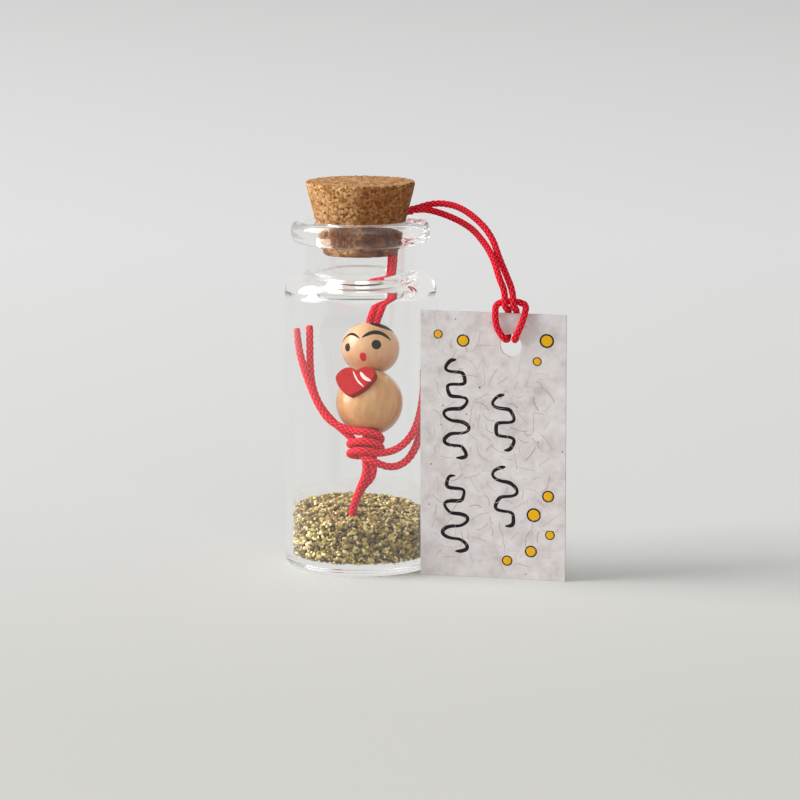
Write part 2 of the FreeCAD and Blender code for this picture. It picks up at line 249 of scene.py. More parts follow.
# Floor, light and camera: metres, with the lens and its sensor in millimetres
FLOOR_REACH = 3.0
FLOOR_SHADE_NEAR = -0.1
FLOOR_SHADE_FAR = 1.3
FLOOR_GLOW_NEAR = -0.25
FLOOR_GLOW_FAR = -0.03
LIGHT_TARGET = Vector((5, 0, 26)) * MM
CAMERA_PLACE = Vector((0, -674.04, 128.02)) * MM
CAMERA_TARGET = Vector((5.69, 0, 24.2)) * MM
LENS_LENGTH = 211.7
SENSOR_WIDTH = 36.0
NEAREST_SEEN = 0.05
BOUNCES = 32

# Route points of the cord, in millimetres
NECK_FRONT = [(4.95, 2.75, 42.6), (4.75, 2.75, 40.9), (3.75, 2.45, 39.0), (2.95, 2.1, 37.0)]
NECK_BACK = [(4.5, 3.75, 42.5), (4.25, 3.75, 40.9), (3.05, 3.2, 39.3), (1.9, 2.45, 37.2)]
HANG_UPPER = [
    (9.75, 6.1, 52.0), (11.5, 5.75, 52.25), (13.15, 4.6, 52.15), (14.5, 2.8, 51.85), (15.75, 0.5, 51.3),
    (17.0, -2.2, 50.5), (18.1, -4.3, 49.5), (19.05, -5.8, 48.0), (19.65, -7.7, 46.2), (20.6, -9.9, 44.0),
]
HANG_LOWER = [
    (10.3, 5.2, 51.25), (12.05, 4.85, 50.75), (13.7, 3.65, 50.2), (15.05, 1.9, 49.65), (16.2, -0.6, 49.1),
    (17.25, -3.6, 48.2), (18.3, -6.9, 47.0), (19.1, -9.8, 45.5), (19.65, -12.0, 43.5),
]
LEFT_OUTER = [
    (-1.3, -5.5, 20.0), (-4.2, -4.7, 21.6), (-5.85, -3.8, 23.8), (-7.0, -2.9, 26.3), (-8.1, -1.9, 29.2),
    (-9.0, -0.9, 32.2), (-9.3, -0.2, 34.8),
]
LEFT_INNER = [
    (-1.4, -4.2, 19.5), (-4.2, -3.4, 21.8), (-6.0, -2.4, 24.0), (-7.0, -1.55, 26.5), (-7.3, -0.85, 29.3),
    (-7.35, -0.3, 32.3), (-7.4, 0.1, 35.2),
]
RIGHT_UPPER = [
    (2.2, -7.3, 17.4), (5.2, -6.0, 17.9), (7.4, -4.3, 19.9), (8.45, -2.9, 22.7), (8.95, -2.0, 25.8),
    (9.15, -1.3, 28.8), (9.2, -0.7, 31.6),
]
RIGHT_LOWER = [
    (1.4, -7.75, 16.7), (4.1, -7.0, 15.4), (6.3, -5.4, 15.9), (7.8, -3.8, 17.9), (8.65, -2.2, 20.6),
    (9.0, -0.8, 23.4), (9.2, 0.3, 26.2), (9.2, 1.1, 28.8),
]
LEG_FRONT = [
    (0.42, -7.1, 13.8), (-0.12, -7.0, 12.6), (-0.48, -6.6, 11.4), (-0.88, -6.0, 10.2), (-1.12, -5.3, 9.0),
    (-1.35, -4.6, 7.8), (-1.5, -4.1, 6.9),
]
LEG_BACK = [
    (1.5, -6.25, 13.8), (0.45, -5.85, 12.7), (-0.25, -5.35, 11.5), (-0.7, -4.7, 10.3), (-1.0, -4.0, 9.1),
    (-1.2, -3.3, 7.9), (-1.3, -2.8, 6.9),
]
INSIDE_KNOT = [(-0.4, -4.9, 18.4), (0.1, -6.4, 17.0)]
HITCH_LEFT = [(-1.85, 2.4), (-2.15, 4.3)]
HITCH_RIGHT = [(1.55, 2.6), (2.2, 4.5)]
HITCH_BAR_LEFT = -2.15
HITCH_BAR_RIGHT = 2.4

joints = {joint["name"]: joint for joint in frame["joints"]}
head_centre = Vector(joints["head_spin"]["pos_m"])
head_axis = Vector(joints["head_spin"]["axis"]).normalized()
body_centre = Vector(joints["torso_spin"]["pos_m"])
body_axis = Vector(joints["torso_spin"]["axis"]).normalized()

# Places that follow from the sizes and the joints
OVER_MOUTH = BOTTLE_HEIGHT + CORD_RADIUS + CORD_GAP
NECK_STRAND_RADIUS = math.sqrt((BORE_RADIUS - CORD_RADIUS - CORD_GAP) ** 2 - (STRAND_SPACING / 2) ** 2)
BODY_TOP = body_centre + body_axis * BODY_BEAD_HALF
HEAD_TOP = head_centre + head_axis * HEAD_BEAD_HALF
KNOT_TOP = body_centre - body_axis * (BODY_BEAD_HALF + BEAD_GAP)
STRAND_END = KNOT_TOP - body_axis * (KNOT_LENGTH + KNOT_DROP)
HEART_FACE = body_centre + HEART_FACING * (BODY_BEAD_RADIUS - HEART_SEAT_DEPTH + HEART_THICKNESS)


def linear(code):
    """An sRGB hex colour as linear RGBA."""
    channels = [int(code[place:place + 2], 16) / 255 for place in (1, 3, 5)]
    return [c / 12.92 if c <= 0.04045 else ((c + 0.055) / 1.055) ** 2.4 for c in channels] + [1.0]


def add_node(tree, kind, inputs=None, stops=(), **settings):
    """Adds a node with its settings and colour stops. Each input gets a value, or a link from a socket."""
    node = tree.nodes.new(kind)
    for name, value in settings.items():
        setattr(node, name, value)
    for index, (place, code) in enumerate(stops):
        elements = node.color_ramp.elements
        element = elements[index] if index < len(elements) else elements.new(place)
        element.position = place
        element.color = linear(code)
    for key, value in (inputs or {}).items():
        if isinstance(value, bpy.types.NodeSocket):
            tree.links.new(value, node.inputs[key])
        else:
            node.inputs[key].default_value = value
    return node


def new_material(name):
    """An empty node material and its tree."""
    material = bpy.data.materials.new(name)
    material.use_nodes = True
    tree = material.node_tree
    tree.nodes.clear()
    return material, tree


def clear_glass():
    """Soda-lime tube glass, flame polished and clear, that passes most of the light to what it holds."""
    material, tree = new_material("clear_tube_glass")
    glass = add_node(tree, "ShaderNodeBsdfPrincipled", {
        "Base Color": linear("#FFFFFF"), "Roughness": 0.0, "IOR": 1.5, "Transmission Weight": 1.0})
    open_way = add_node(tree, "ShaderNodeBsdfTransparent", {"Color": linear("#EDEFEE")})
    path = add_node(tree, "ShaderNodeLightPath")
    mixed = add_node(tree, "ShaderNodeMixShader", {
        "Fac": path.outputs["Is Shadow Ray"], 1: glass.outputs[0], 2: open_way.outputs[0]})
    add_node(tree, "ShaderNodeOutputMaterial", {"Surface": mixed.outputs[0]})
    return material


def pressed_cork():
    """Agglomerated cork: tan crumbs and brown pits, with painted shade in the neck and on the side away from
    the window; matte.
    """
    material, tree = new_material("pressed_cork")
    place = add_node(tree, "ShaderNodeTexCoord").outputs["Object"]
    crumbs = add_node(tree, "ShaderNodeTexVoronoi", {"Vector": place, "Scale": 1 / (0.42 * MM)})
    crumb_tone = add_node(tree, "ShaderNodeSeparateColor", {"Color": crumbs.outputs["Color"]})
    base = add_node(tree, "ShaderNodeValToRGB", {"Fac": crumb_tone.outputs["Red"]}, stops=[
        (0.0, "#A06836"), (0.3, "#CC9056"), (0.7, "#DEA96E"), (1.0, "#F0C692")])
    specks = add_node(tree, "ShaderNodeTexNoise", {
        "Vector": place, "Scale": 1 / (0.3 * MM), "Detail": 3.0, "Roughness": 0.6})
    speck_mask = add_node(tree, "ShaderNodeMapRange", {
        "Value": specks.outputs["Fac"], "From Min": 0.36, "From Max": 0.45, "To Min": 0.9, "To Max": 0.0})
    speckled = add_node(tree, "ShaderNodeMix", {
        "Factor": speck_mask.outputs["Result"], 6: base.outputs[0], 7: linear("#70441E")}, data_type="RGBA")
    pits = add_node(tree, "ShaderNodeAttribute", attribute_name="pit")
    pitted = add_node(tree, "ShaderNodeMix", {
        "Factor": pits.outputs["Fac"], 6: speckled.outputs[2], 7: linear("#6A4020")}, data_type="RGBA")
    depth = add_node(tree, "ShaderNodeSeparateXYZ", {"Vector": place})
    patches = add_node(tree, "ShaderNodeTexNoise", {"Vector": place, "Scale": 1 / (2.4 * MM), "Detail": 3.0})
    streaks = add_node(tree, "ShaderNodeMapRange", {
        "Value": patches.outputs["Fac"], "From Min": 0.35, "From Max": 0.6, "To Min": 0.25, "To Max": 1.0})
    # Painted shade of the rim over the cork in the neck, patchy, and fading out at the mouth.
    neck_shade = add_node(tree, "ShaderNodeMapRange", {
        "Value": depth.outputs["Z"], "From Min": BOTTLE_HEIGHT - CORK_NECK_SHADE_EDGE, "From Max": BOTTLE_HEIGHT,
        "To Min": streaks.outputs["Result"], "To Max": 0.0})
    neck_shaded = add_node(tree, "ShaderNodeMix", {
        "Factor": neck_shade.outputs["Result"], 6: pitted.outputs[2], 7: linear("#A0845F")},
        data_type="RGBA", blend_type="MULTIPLY")
    # Painted shade on the side away from the window, towards +X with a patchy edge, and less on the top.
    towards = add_node(tree, "ShaderNodeMath", {
        0: patches.outputs["Fac"], 1: SHADE_SIDE_SPREAD, 2: depth.outputs["X"]}, operation="MULTIPLY_ADD")
    facing = add_node(tree, "ShaderNodeNewGeometry")
    upward = add_node(tree, "ShaderNodeSeparateXYZ", {"Vector": facing.outputs["Normal"]})
    most = add_node(tree, "ShaderNodeMapRange", {
        "Value": upward.outputs["Z"], "From Min": 0.4, "From Max": 0.9, "To Min": 0.8, "To Max": 0.1})
    shade_side = add_node(tree, "ShaderNodeMapRange", {
        "Value": towards.outputs[0], "From Min": SHADE_SIDE_START, "From Max": SHADE_SIDE_FULL,
        "To Min": 0.0, "To Max": most.outputs["Result"]})
    colour = add_node(tree, "ShaderNodeMix", {
        "Factor": shade_side.outputs["Result"], 6: neck_shaded.outputs[2], 7: linear("#B58F6C")},
        data_type="RGBA", blend_type="MULTIPLY")
    fine = add_node(tree, "ShaderNodeTexNoise", {"Vector": place, "Scale": 1 / (0.16 * MM), "Detail": 4.0})
    bump = add_node(tree, "ShaderNodeBump", {
        "Height": fine.outputs["Fac"], "Strength": 0.6, "Distance": 0.08 * MM})
    shader = add_node(tree, "ShaderNodeBsdfPrincipled", {
        "Base Color": colour.outputs[2], "Roughness": 0.9, "IOR": 1.4, "Normal": bump.outputs[0]})
    add_node(tree, "ShaderNodeOutputMaterial", {"Surface": shader.outputs[0]})
    return material


def braided_cord():
    """Red polyester cord, braided round: a painted highlight on top of each stitch and painted shade in deep
    red between them.
    """
    material, tree = new_material("braided_red_cord")
    stitch_light = add_node(tree, "ShaderNodeAttribute", attribute_name="stitch_light")
    place = add_node(tree, "ShaderNodeTexCoord").outputs["Object"]
    # The cord's filaments are drawn several times too coarse, so that they show.
    fibres = add_node(tree, "ShaderNodeTexNoise", {"Vector": place, "Scale": 1 / (0.12 * MM), "Detail": 3.0})
    # Each stitch's height becomes painted highlight on its top and painted shade between stitches, with the
    # fibres' flecks over it.
    mixed = add_node(tree, "ShaderNodeMath", {
        0: fibres.outputs["Fac"], 1: 0.3, 2: stitch_light.outputs["Fac"]}, operation="MULTIPLY_ADD")
    colour = add_node(tree, "ShaderNodeValToRGB", {"Fac": mixed.outputs[0]}, stops=[
        (0.28, "#A4081C"), (0.5, "#D00C28"), (0.75, "#F02036"), (1.0, "#FB474F")])
    bump = add_node(tree, "ShaderNodeBump", {
        "Height": fibres.outputs["Fac"], "Strength": 0.35, "Distance": 0.04 * MM})
    shader = add_node(tree, "ShaderNodeBsdfPrincipled", {
        "Base Color": colour.outputs[0], "Roughness": 0.7, "IOR": 1.2, "Normal": bump.outputs[0]})
    add_node(tree, "ShaderNodeOutputMaterial", {"Surface": shader.outputs[0]})
    return material


def varnished_maple(name, axis, tone_light, tone_dark):
    """Turned maple under clear varnish: pale, with soft growth lines along the bead's hole and a gloss."""
    material, tree = new_material(name)
    place = add_node(tree, "ShaderNodeTexCoord").outputs["Object"]
    tilt = axis.to_track_quat("Z", "X").inverted().to_euler()
    along = add_node(tree, "ShaderNodeMapping", {"Vector": place, "Rotation": tilt})
    stretched = add_node(tree, "ShaderNodeMapping", {
        "Vector": along.outputs[0], "Scale": (1.0, 1.0, 0.12)})
    lines = add_node(tree, "ShaderNodeTexNoise", {
        "Vector": stretched.outputs[0], "Scale": 1 / (0.9 * MM), "Detail": 4.0, "Distortion": 0.6})
    colour = add_node(tree, "ShaderNodeValToRGB", {"Fac": lines.outputs["Fac"]}, stops=[
        (0.3, tone_dark), (0.62, tone_light)])
    pores = add_node(tree, "ShaderNodeTexNoise", {
        "Vector": stretched.outputs[0], "Scale": 1 / (0.18 * MM), "Detail": 2.0})
    bump = add_node(tree, "ShaderNodeBump", {
        "Height": pores.outputs["Fac"], "Strength": 0.12, "Distance": 0.02 * MM})
    shader = add_node(tree, "ShaderNodeBsdfPrincipled", {
        "Base Color": colour.outputs[0], "Roughness": 0.42, "IOR": 1.5, "Normal": bump.outputs[0],
        "Coat Weight": 0.6, "Coat Roughness": 0.12})
    add_node(tree, "ShaderNodeOutputMaterial", {"Surface": shader.outputs[0]})
    return material


def brushed_paint(name, code, roughness, grit):
    """Acrylic paint put on by hand: one colour with faint grit and uneven gloss."""
    material, tree = new_material(name)
    place = add_node(tree, "ShaderNodeTexCoord").outputs["Object"]
    # The pigment's grit is drawn too coarse, so that it shows.
    grain = add_node(tree, "ShaderNodeTexNoise", {"Vector": place, "Scale": 1 / (0.22 * MM), "Detail": 4.0})
    plain = linear(code)[:3]
    shaded = [channel * (1 - grit) for channel in plain] + [1.0]
    light = [min(1.0, channel * (1 + grit) + grit * 0.06) for channel in plain] + [1.0]
    tone = add_node(tree, "ShaderNodeMapRange", {
        "Value": grain.outputs["Fac"], "From Min": 0.35, "From Max": 0.65})
    colour = add_node(tree, "ShaderNodeMix", {
        "Factor": tone.outputs["Result"], 6: shaded, 7: light}, data_type="RGBA")
    bump = add_node(tree, "ShaderNodeBump", {
        "Height": grain.outputs["Fac"], "Strength": 0.4, "Distance": 0.05 * MM})
    shader = add_node(tree, "ShaderNodeBsdfPrincipled", {
        "Base Color": colour.outputs[2], "Roughness": roughness, "IOR": 1.16, "Normal": bump.outputs[0]})
    add_node(tree, "ShaderNodeOutputMaterial", {"Surface": shader.outputs[0]})
    return material


def handmade_paper():
    """Handmade rag paper: grey lilac pulp with cloudy patches, dark specks and a soft tooth."""
    material, tree = new_material("handmade_paper")
    place = add_node(tree, "ShaderNodeTexCoord").outputs["Object"]
    clouds = add_node(tree, "ShaderNodeTexNoise", {
        "Vector": place, "Scale": 1 / (2.6 * MM), "Detail": 6.0, "Roughness": 0.65})
    base = add_node(tree, "ShaderNodeValToRGB", {"Fac": clouds.outputs["Fac"]}, stops=[
        (0.3, "#C4BBB9"), (0.44, "#D7CFCE"), (0.55, "#DED8D8"), (0.7, "#E8E3E2")])
    flecks = add_node(tree, "ShaderNodeTexVoronoi", {"Vector": place, "Scale": 1 / (1.7 * MM)})
    fleck_tone = add_node(tree, "ShaderNodeSeparateColor", {"Color": flecks.outputs["Color"]})
    fleck_size = add_node(tree, "ShaderNodeMath", {
        0: fleck_tone.outputs["Red"], 1: 0.09}, operation="MULTIPLY")
    fleck_edge = add_node(tree, "ShaderNodeMath", {
        0: flecks.outputs["Distance"], 1: fleck_size.outputs[0]}, operation="LESS_THAN")
    fleck_colour = add_node(tree, "ShaderNodeValToRGB", {"Fac": fleck_tone.outputs["Green"]}, stops=[
        (0.0, "#7A6C66"), (0.5, "#A98E74"), (1.0, "#B98A80")])
    colour = add_node(tree, "ShaderNodeMix", {
        "Factor": fleck_edge.outputs[0], 6: base.outputs[0], 7: fleck_colour.outputs[0]}, data_type="RGBA")
    tooth = add_node(tree, "ShaderNodeTexNoise", {"Vector": place, "Scale": 1 / (0.35 * MM), "Detail": 5.0})
    bump = add_node(tree, "ShaderNodeBump", {
        "Height": tooth.outputs["Fac"], "Strength": 0.5, "Distance": 0.07 * MM})
    shader = add_node(tree, "ShaderNodeBsdfPrincipled", {
        "Base Color": colour.outputs[2], "Roughness": 0.9, "IOR": 1.45, "Normal": bump.outputs[0]})
    add_node(tree, "ShaderNodeOutputMaterial", {"Surface": shader.outputs[0]})
    return material


def paper_fibre():
    """Plant fibres in the paper: tan, ochre and rose, picked by each fibre's own number."""
    material, tree = new_material("plant_fibre")
    tint = add_node(tree, "ShaderNodeAttribute", attribute_name="tint")
    colour = add_node(tree, "ShaderNodeValToRGB", {"Fac": tint.outputs["Fac"]}, stops=[
        (0.0, "#B89A78"), (0.35, "#CDB295"), (0.6, "#E2DCD7"), (0.85, "#CFA79D"), (1.0, "#9C8880")])
    shader = add_node(tree, "ShaderNodeBsdfPrincipled", {
        "Base Color": colour.outputs[0], "Roughness": 0.8, "IOR": 1.45})
    add_node(tree, "ShaderNodeOutputMaterial", {"Surface": shader.outputs[0]})
    return material


def gold_grit():
    """Crushed stone with a gold tone: chips from brown to pale gold, with a dull sparkle."""
    material, tree = new_material("gold_grit")
    tone = add_node(tree, "ShaderNodeAttribute", attribute_name="tone")
    place = add_node(tree, "ShaderNodeTexCoord").outputs["Object"]
    mottle = add_node(tree, "ShaderNodeTexNoise", {"Vector": place, "Scale": 1 / (0.25 * MM), "Detail": 3.0})
    shade = add_node(tree, "ShaderNodeMath", {
        0: mottle.outputs["Fac"], 1: 0.4, 2: tone.outputs["Fac"]}, operation="MULTIPLY_ADD")
    colour = add_node(tree, "ShaderNodeValToRGB", {"Fac": shade.outputs[0]}, stops=[
        (0.15, "#2E230E"), (0.42, "#80682F"), (0.75, "#B2984F"), (1.0, "#E6D496")])
    bump = add_node(tree, "ShaderNodeBump", {
        "Height": mottle.outputs["Fac"], "Strength": 0.5, "Distance": 0.05 * MM})
    shader = add_node(tree, "ShaderNodeBsdfPrincipled", {
        "Base Color": colour.outputs[0], "Roughness": 0.32, "IOR": 1.55, "Metallic": 0.3,
        "Normal": bump.outputs[0]})
    add_node(tree, "ShaderNodeOutputMaterial", {"Surface": shader.outputs[0]})
    return material


def studio_floor():
    """Pale matte board, with painted shade a little darker towards the viewer, and plain where glass shows
    it.
    """
    material, tree = new_material("pale_board")
    place = add_node(tree, "ShaderNodeTexCoord").outputs["Object"]
    depth = add_node(tree, "ShaderNodeSeparateXYZ", {"Vector": place})
    # Painted shade: the board's colour darkens towards the viewer.
    fade = add_node(tree, "ShaderNodeMapRange", {
        "Value": depth.outputs["Y"], "From Min": FLOOR_SHADE_NEAR, "From Max": FLOOR_SHADE_FAR})
    colour = add_node(tree, "ShaderNodeValToRGB", {"Fac": fade.outputs["Result"]}, stops=[
        (0.0, "#DAD9D3"), (0.12, "#E4E4E1"), (0.35, "#EDECEC"), (1.0, "#E7E6E5")])
    board = add_node(tree, "ShaderNodeBsdfPrincipled", {"Base Color": colour.outputs[0], "Roughness": 0.9})
    near = add_node(tree, "ShaderNodeMapRange", {
        "Value": depth.outputs["Y"], "From Min": FLOOR_GLOW_NEAR, "From Max": FLOOR_GLOW_FAR,
        "To Min": 0.2, "To Max": 1.0})
    path = add_node(tree, "ShaderNodeLightPath")
    level = add_node(tree, "ShaderNodeMath", {
        0: path.outputs["Is Transmission Ray"], 1: near.outputs["Result"]}, operation="MAXIMUM")
    backdrop = add_node(tree, "ShaderNodeEmission", {
        "Color": linear("#DCDCDA"), "Strength": level.outputs[0]})
    through = add_node(tree, "ShaderNodeMath", {
        0: path.outputs["Is Glossy Ray"], 1: path.outputs["Is Transmission Ray"]}, operation="MAXIMUM")
    mixed = add_node(tree, "ShaderNodeMixShader", {
        "Fac": through.outputs[0], 1: board.outputs[0], 2: backdrop.outputs[0]})
    add_node(tree, "ShaderNodeOutputMaterial", {"Surface": mixed.outputs[0]})
    material.cycles.emission_sampling = "NONE"
    return material


def link(name, data):
    """A new object at the origin."""
    thing = bpy.data.objects.new(name, data)
    bpy.context.scene.collection.objects.link(thing)
    return thing


def piece(name, mesh, material, body, nodes=()):
    """A finished mesh as a piece that rides on a body and stands for its nodes."""
    mesh.materials.clear()
    mesh.materials.append(material)
    thing = link(name, mesh)
    if body:
        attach(thing, body)
    if nodes:
        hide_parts(*nodes)
    return thing


def mesh_of(name, form):
    """A smooth shaded mesh from a bmesh, sharp only at hard edges."""
    mesh = bpy.data.meshes.new(name)
    form.to_mesh(mesh)
    form.free()
    mesh.shade_smooth()
    mesh.set_sharp_from_angle(angle=SHARP_ANGLE)
    return mesh


def plain_mesh(thing):
    """The evaluated object as a mesh of its own."""
    return bpy.data.meshes.new_from_object(thing.evaluated_get(bpy.context.evaluated_depsgraph_get()))


def node_group(name, sizes):
    """An empty geometry node tree with a named input for each size, and its input node."""
    tree = bpy.data.node_groups.new(name, "GeometryNodeTree")
    tree.interface.new_socket("Geometry", in_out="INPUT", socket_type="NodeSocketGeometry")
    for size in sizes:
        tree.interface.new_socket(size, in_out="INPUT", socket_type="NodeSocketFloat")
    tree.interface.new_socket("Geometry", in_out="OUTPUT", socket_type="NodeSocketGeometry")
    return tree, add_node(tree, "NodeGroupInput")


def mesh_by_nodes(thing, tree, sizes):
    """The plain mesh that a tree makes of an object with the given sizes. The object is removed."""
    modifier = thing.modifiers.new(tree.name, "NODES")
    modifier.node_group = tree
    sockets = {item.name: item.identifier for item in tree.interface.items_tree if item.in_out == "INPUT"}
    for name, value in sizes.items():
        modifier[sockets[name]] = value
    mesh = plain_mesh(thing)
    bpy.data.objects.remove(thing)
    return mesh


def rounded_profile(corners):
    """Points of a profile whose corners, given as radius, height and rounding, are rounded by arcs.

    A point close to each end of an arc keeps the straight stretch beside it flat under smooth shading."""
    points = []
    for index, (radius, height, rounding) in enumerate(corners):
        corner = Vector((radius, height))
        if rounding == 0:
            points.append(corner)
            continue
        before = (Vector(corners[index - 1][:2]) - corner).normalized()
        after = (Vector(corners[(index + 1) % len(corners)][:2]) - corner).normalized()
        half_turn = (math.pi - before.angle(after)) / 2
        middle = corner + (before + after).normalized() * (rounding / math.cos(half_turn))
        spoke = corner + before * (rounding * math.tan(half_turn)) - middle
        way = math.copysign(1, before.cross(after))
        reach = rounding * math.tan(half_turn) + ARC_MARGIN
        points.append(corner + before * reach)
        for step in range(ARC_STEPS + 1):
            points.append(middle + Matrix.Rotation(-way * 2 * half_turn * step / ARC_STEPS, 2) @ spoke)
        points.append(corner + after * reach)
    return points


def lathe(profile, closed, segments=LATHE_SEGMENTS):
    """A bmesh turned about Z from points of radius and height, with poles where the radius is zero."""
    form = bmesh.new()
    rings = []
    for radius, height in profile:
        count = segments if radius > POLE_RADIUS else 1
        angles = [2 * math.pi * step / segments for step in range(count)]
        rings.append([form.verts.new((radius * math.cos(a), radius * math.sin(a), height)) for a in angles])
    for lower, upper in zip(rings, rings[1:] + rings[:closed]):
        for step in range(segments):
            corners = [lower[step % len(lower)], lower[(step + 1) % len(lower)],
                       upper[(step + 1) % len(upper)], upper[step % len(upper)]]
            corners = list(dict.fromkeys(corners))
            if len(corners) > 2:
                form.faces.new(corners)
    bmesh.ops.recalc_face_normals(form, faces=form.faces)
    return form


def glass_bottle(material):
    """The bottle, turned from one profile that runs up its outside and down its inside."""
    inner_shoulder = SHOULDER_HEIGHT - SHOULDER_WALL
    rim_underside = BOTTLE_HEIGHT - RIM_HEIGHT
    profile = rounded_profile([
        (0, 0, 0),
        (BODY_RADIUS, 0, BASE_CORNER),
        (BODY_RADIUS, SHOULDER_HEIGHT, SHOULDER_ROUNDING),
        (NECK_RADIUS, SHOULDER_HEIGHT, NECK_FILLET),
        (NECK_RADIUS, rim_underside, RIM_FILLET),
        (RIM_RADIUS, rim_underside, RIM_CORNER),
        (RIM_RADIUS, BOTTLE_HEIGHT, RIM_CORNER),
        (BORE_RADIUS, BOTTLE_HEIGHT, MOUTH_ROUNDING),
        (BORE_RADIUS, inner_shoulder, THROAT_ROUNDING),
        (INNER_RADIUS, inner_shoulder, INNER_SHOULDER_ROUNDING),
        (INNER_RADIUS, BASE_THICKNESS, FLOOR_CORNER),
        (0, BASE_THICKNESS, 0),
    ])
    mesh = mesh_of("glass", lathe(profile, False))
    return piece("glass", mesh, material, "bottle", ["glass_bottle"])


def cork_stopper(material):
    """The cork with its crumbs and pits pressed into the surface, worked inwards from the solid."""
    heights = [vertex.co.z for vertex in frame["nodes"]["cork_stopper"].data.vertices]
    low, high = min(heights), max(heights)
    outline = rounded_profile([
        (0, low, 0),
        (CORK_BOTTOM_RADIUS, low, CORK_EDGE),
        (CORK_TOP_RADIUS, high, CORK_EDGE),
        (0, high, 0),
    ])
    profile = even_steps(outline, CORK_STEP)
    profile.append(outline[-1])
    mesh = mesh_of("cork", lathe(profile, False, CORK_SEGMENTS))
    normals = [vertex.normal.copy() for vertex in mesh.vertices]
    pits = []
    for vertex, normal in zip(mesh.vertices, normals):
        place = vertex.co / MM
        near, next_near = noise.voronoi(place * CORK_SEAMS_PER_MM)[0][:2]
        seam = max(0.0, 1 - (next_near - near) / CORK_SEAM_WIDTH)
        hollow = noise.noise(place * CORK_HOLES_PER_MM + CORK_HOLE_SHIFT) - CORK_HOLE_LEVEL
        hole = min(1.0, max(0.0, hollow) * CORK_HOLE_STEEPNESS)
        crumb = max(0.0, noise.noise(place * CORK_CRUMBS_PER_MM))
        to_edge = math.hypot(math.hypot(vertex.co.x, vertex.co.y) - CORK_TOP_RADIUS, vertex.co.z - high)
        near_edge = max(0.0, 1 - to_edge / CORK_CHIP_REACH)
        chip = near_edge * max(0.0, noise.noise(place * CORK_CHIPS_PER_MM))
        depth = CORK_SEAM_DEPTH * seam + CORK_HOLE_DEPTH * hole + CORK_CRUMB_DEPTH * crumb
        vertex.co -= normal * (depth + CORK_CHIP_DEPTH * chip)
        pits.append(min(1.0, CORK_SEAM_SHADE * seam + CORK_HOLE_SHADE * hole))
    mesh.attributes.new("pit", "FLOAT", "POINT").data.foreach_set("value", pits)
    mesh.shade_smooth()
    return piece("cork", mesh, material, "cork", ["cork_stopper"])


def smooth_route(name, route):
    """Points along the smooth line through a route, as its NURBS curve gives them."""
    curve = bpy.data.curves.new(name, "CURVE")
    curve.dimensions = "3D"
    curve.resolution_u = ROUTE_STEPS
    spline = curve.splines.new("NURBS")
    spline.points.add(len(route) - 1)
    for point, place in zip(spline.points, route):
        point.co = (*place, 1.0)
    spline.order_u = ROUTE_ORDER
    spline.use_endpoint_u = True
    guide = link(name, curve)
    mesh = plain_mesh(guide)
    points = [vertex.co.copy() for vertex in mesh.vertices]
    bpy.data.objects.remove(guide)
    return points


def even_steps(points, step):
    """The same line with points an even distance apart."""
    spaced = [points[0]]
    carried = 0.0
    for start, end in zip(points, points[1:]):
        run = (end - start).length
        place = step - carried
        while place <= run:
            spaced.append(start.lerp(end, place / run))
            place += step
        carried = run - (place - step)
    return spaced


def braided_tube(name, route, radius):
    """A round braid along a route: its stitches stand out of the tube, and an attribute says how far, for the
    stitches' painted highlight and shade.
    """
    ring_spacing = BRAID_PITCH / RINGS_PER_PITCH
    line = even_steps(smooth_route(name, route), ring_spacing)
    last = len(line) - 1
    tangents = [(line[min(i + 1, last)] - line[max(i - 1, 0)]).normalized() for i in range(len(line))]
    side = tangents[0].orthogonal().normalized()
    vertices, stitch_light, faces = [], [], []
    length = ring_spacing * last
    for index, (centre, tangent) in enumerate(zip(line, tangents)):
        if index:
            side = tangents[index - 1].rotation_difference(tangent) @ side
        other = tangent.cross(side)
        along = 2 * math.pi * index / RINGS_PER_PITCH
        from_end = min(index, last - index) * ring_spacing
        taper = 1 - min(1.0, from_end / CORD_END_ROUNDING)
        fullness = math.sqrt(1 - CORD_END_SHARE * taper ** 2)
        for corner in range(CORD_SIDES):
            angle = 2 * math.pi * corner / CORD_SIDES
            stitch = 0.5 + 0.5 * math.cos(BRAID_AROUND * angle) * math.cos(along)
            reach = radius * fullness * (1 - BRAID_DEPTH_SHARE * (1 - stitch))
            vertices.append(centre + (side * math.cos(angle) + other * math.sin(angle)) * reach)
            stitch_light.append(stitch)
    for ring in range(last):
        for corner in range(CORD_SIDES):
            follower = (corner + 1) % CORD_SIDES
            start, ahead = ring * CORD_SIDES, (ring + 1) * CORD_SIDES
            faces.append((start + corner, start + follower, ahead + follower, ahead + corner))
    for ring, centre in ((0, line[0]), (last, line[-1])):
        hub = len(vertices)
        vertices.append(centre)
        stitch_light.append(CORD_END_STITCH_LIGHT)
        for corner in range(CORD_SIDES):
            pair = (ring * CORD_SIDES + (corner + 1) % CORD_SIDES, ring * CORD_SIDES + corner)
            faces.append((hub, *(pair if ring == 0 else pair[::-1])))
    mesh = bpy.data.meshes.new(name)
    mesh.from_pydata(vertices, [], faces)
    mesh.attributes.new("stitch_light", "FLOAT", "POINT").data.foreach_set("value", stitch_light)
    mesh.shade_smooth()
    return mesh, line, length


def in_metres(route):
    """A route's points, written in millimetres, as vectors in metres."""
    return [Vector(point) * MM for point in route]


def exit_point(side, radius, height):
    """A point on a strand beside the mouth, with side -1 for the front strand and 1 for the back one."""
    outward = Vector((math.cos(EXIT_AZIMUTH), math.sin(EXIT_AZIMUTH), 0))
    along_rim = Vector((-math.sin(EXIT_AZIMUTH), math.cos(EXIT_AZIMUTH), 0))
    return outward * radius + along_rim * (side * STRAND_SPACING / 2) + UP * height


def strand_at(side, place):
    """A place on the doll's axis moved to one of the two strands that run side by side."""
    return place + Vector((side * STRAND_SPACING / 2, 0, 0))


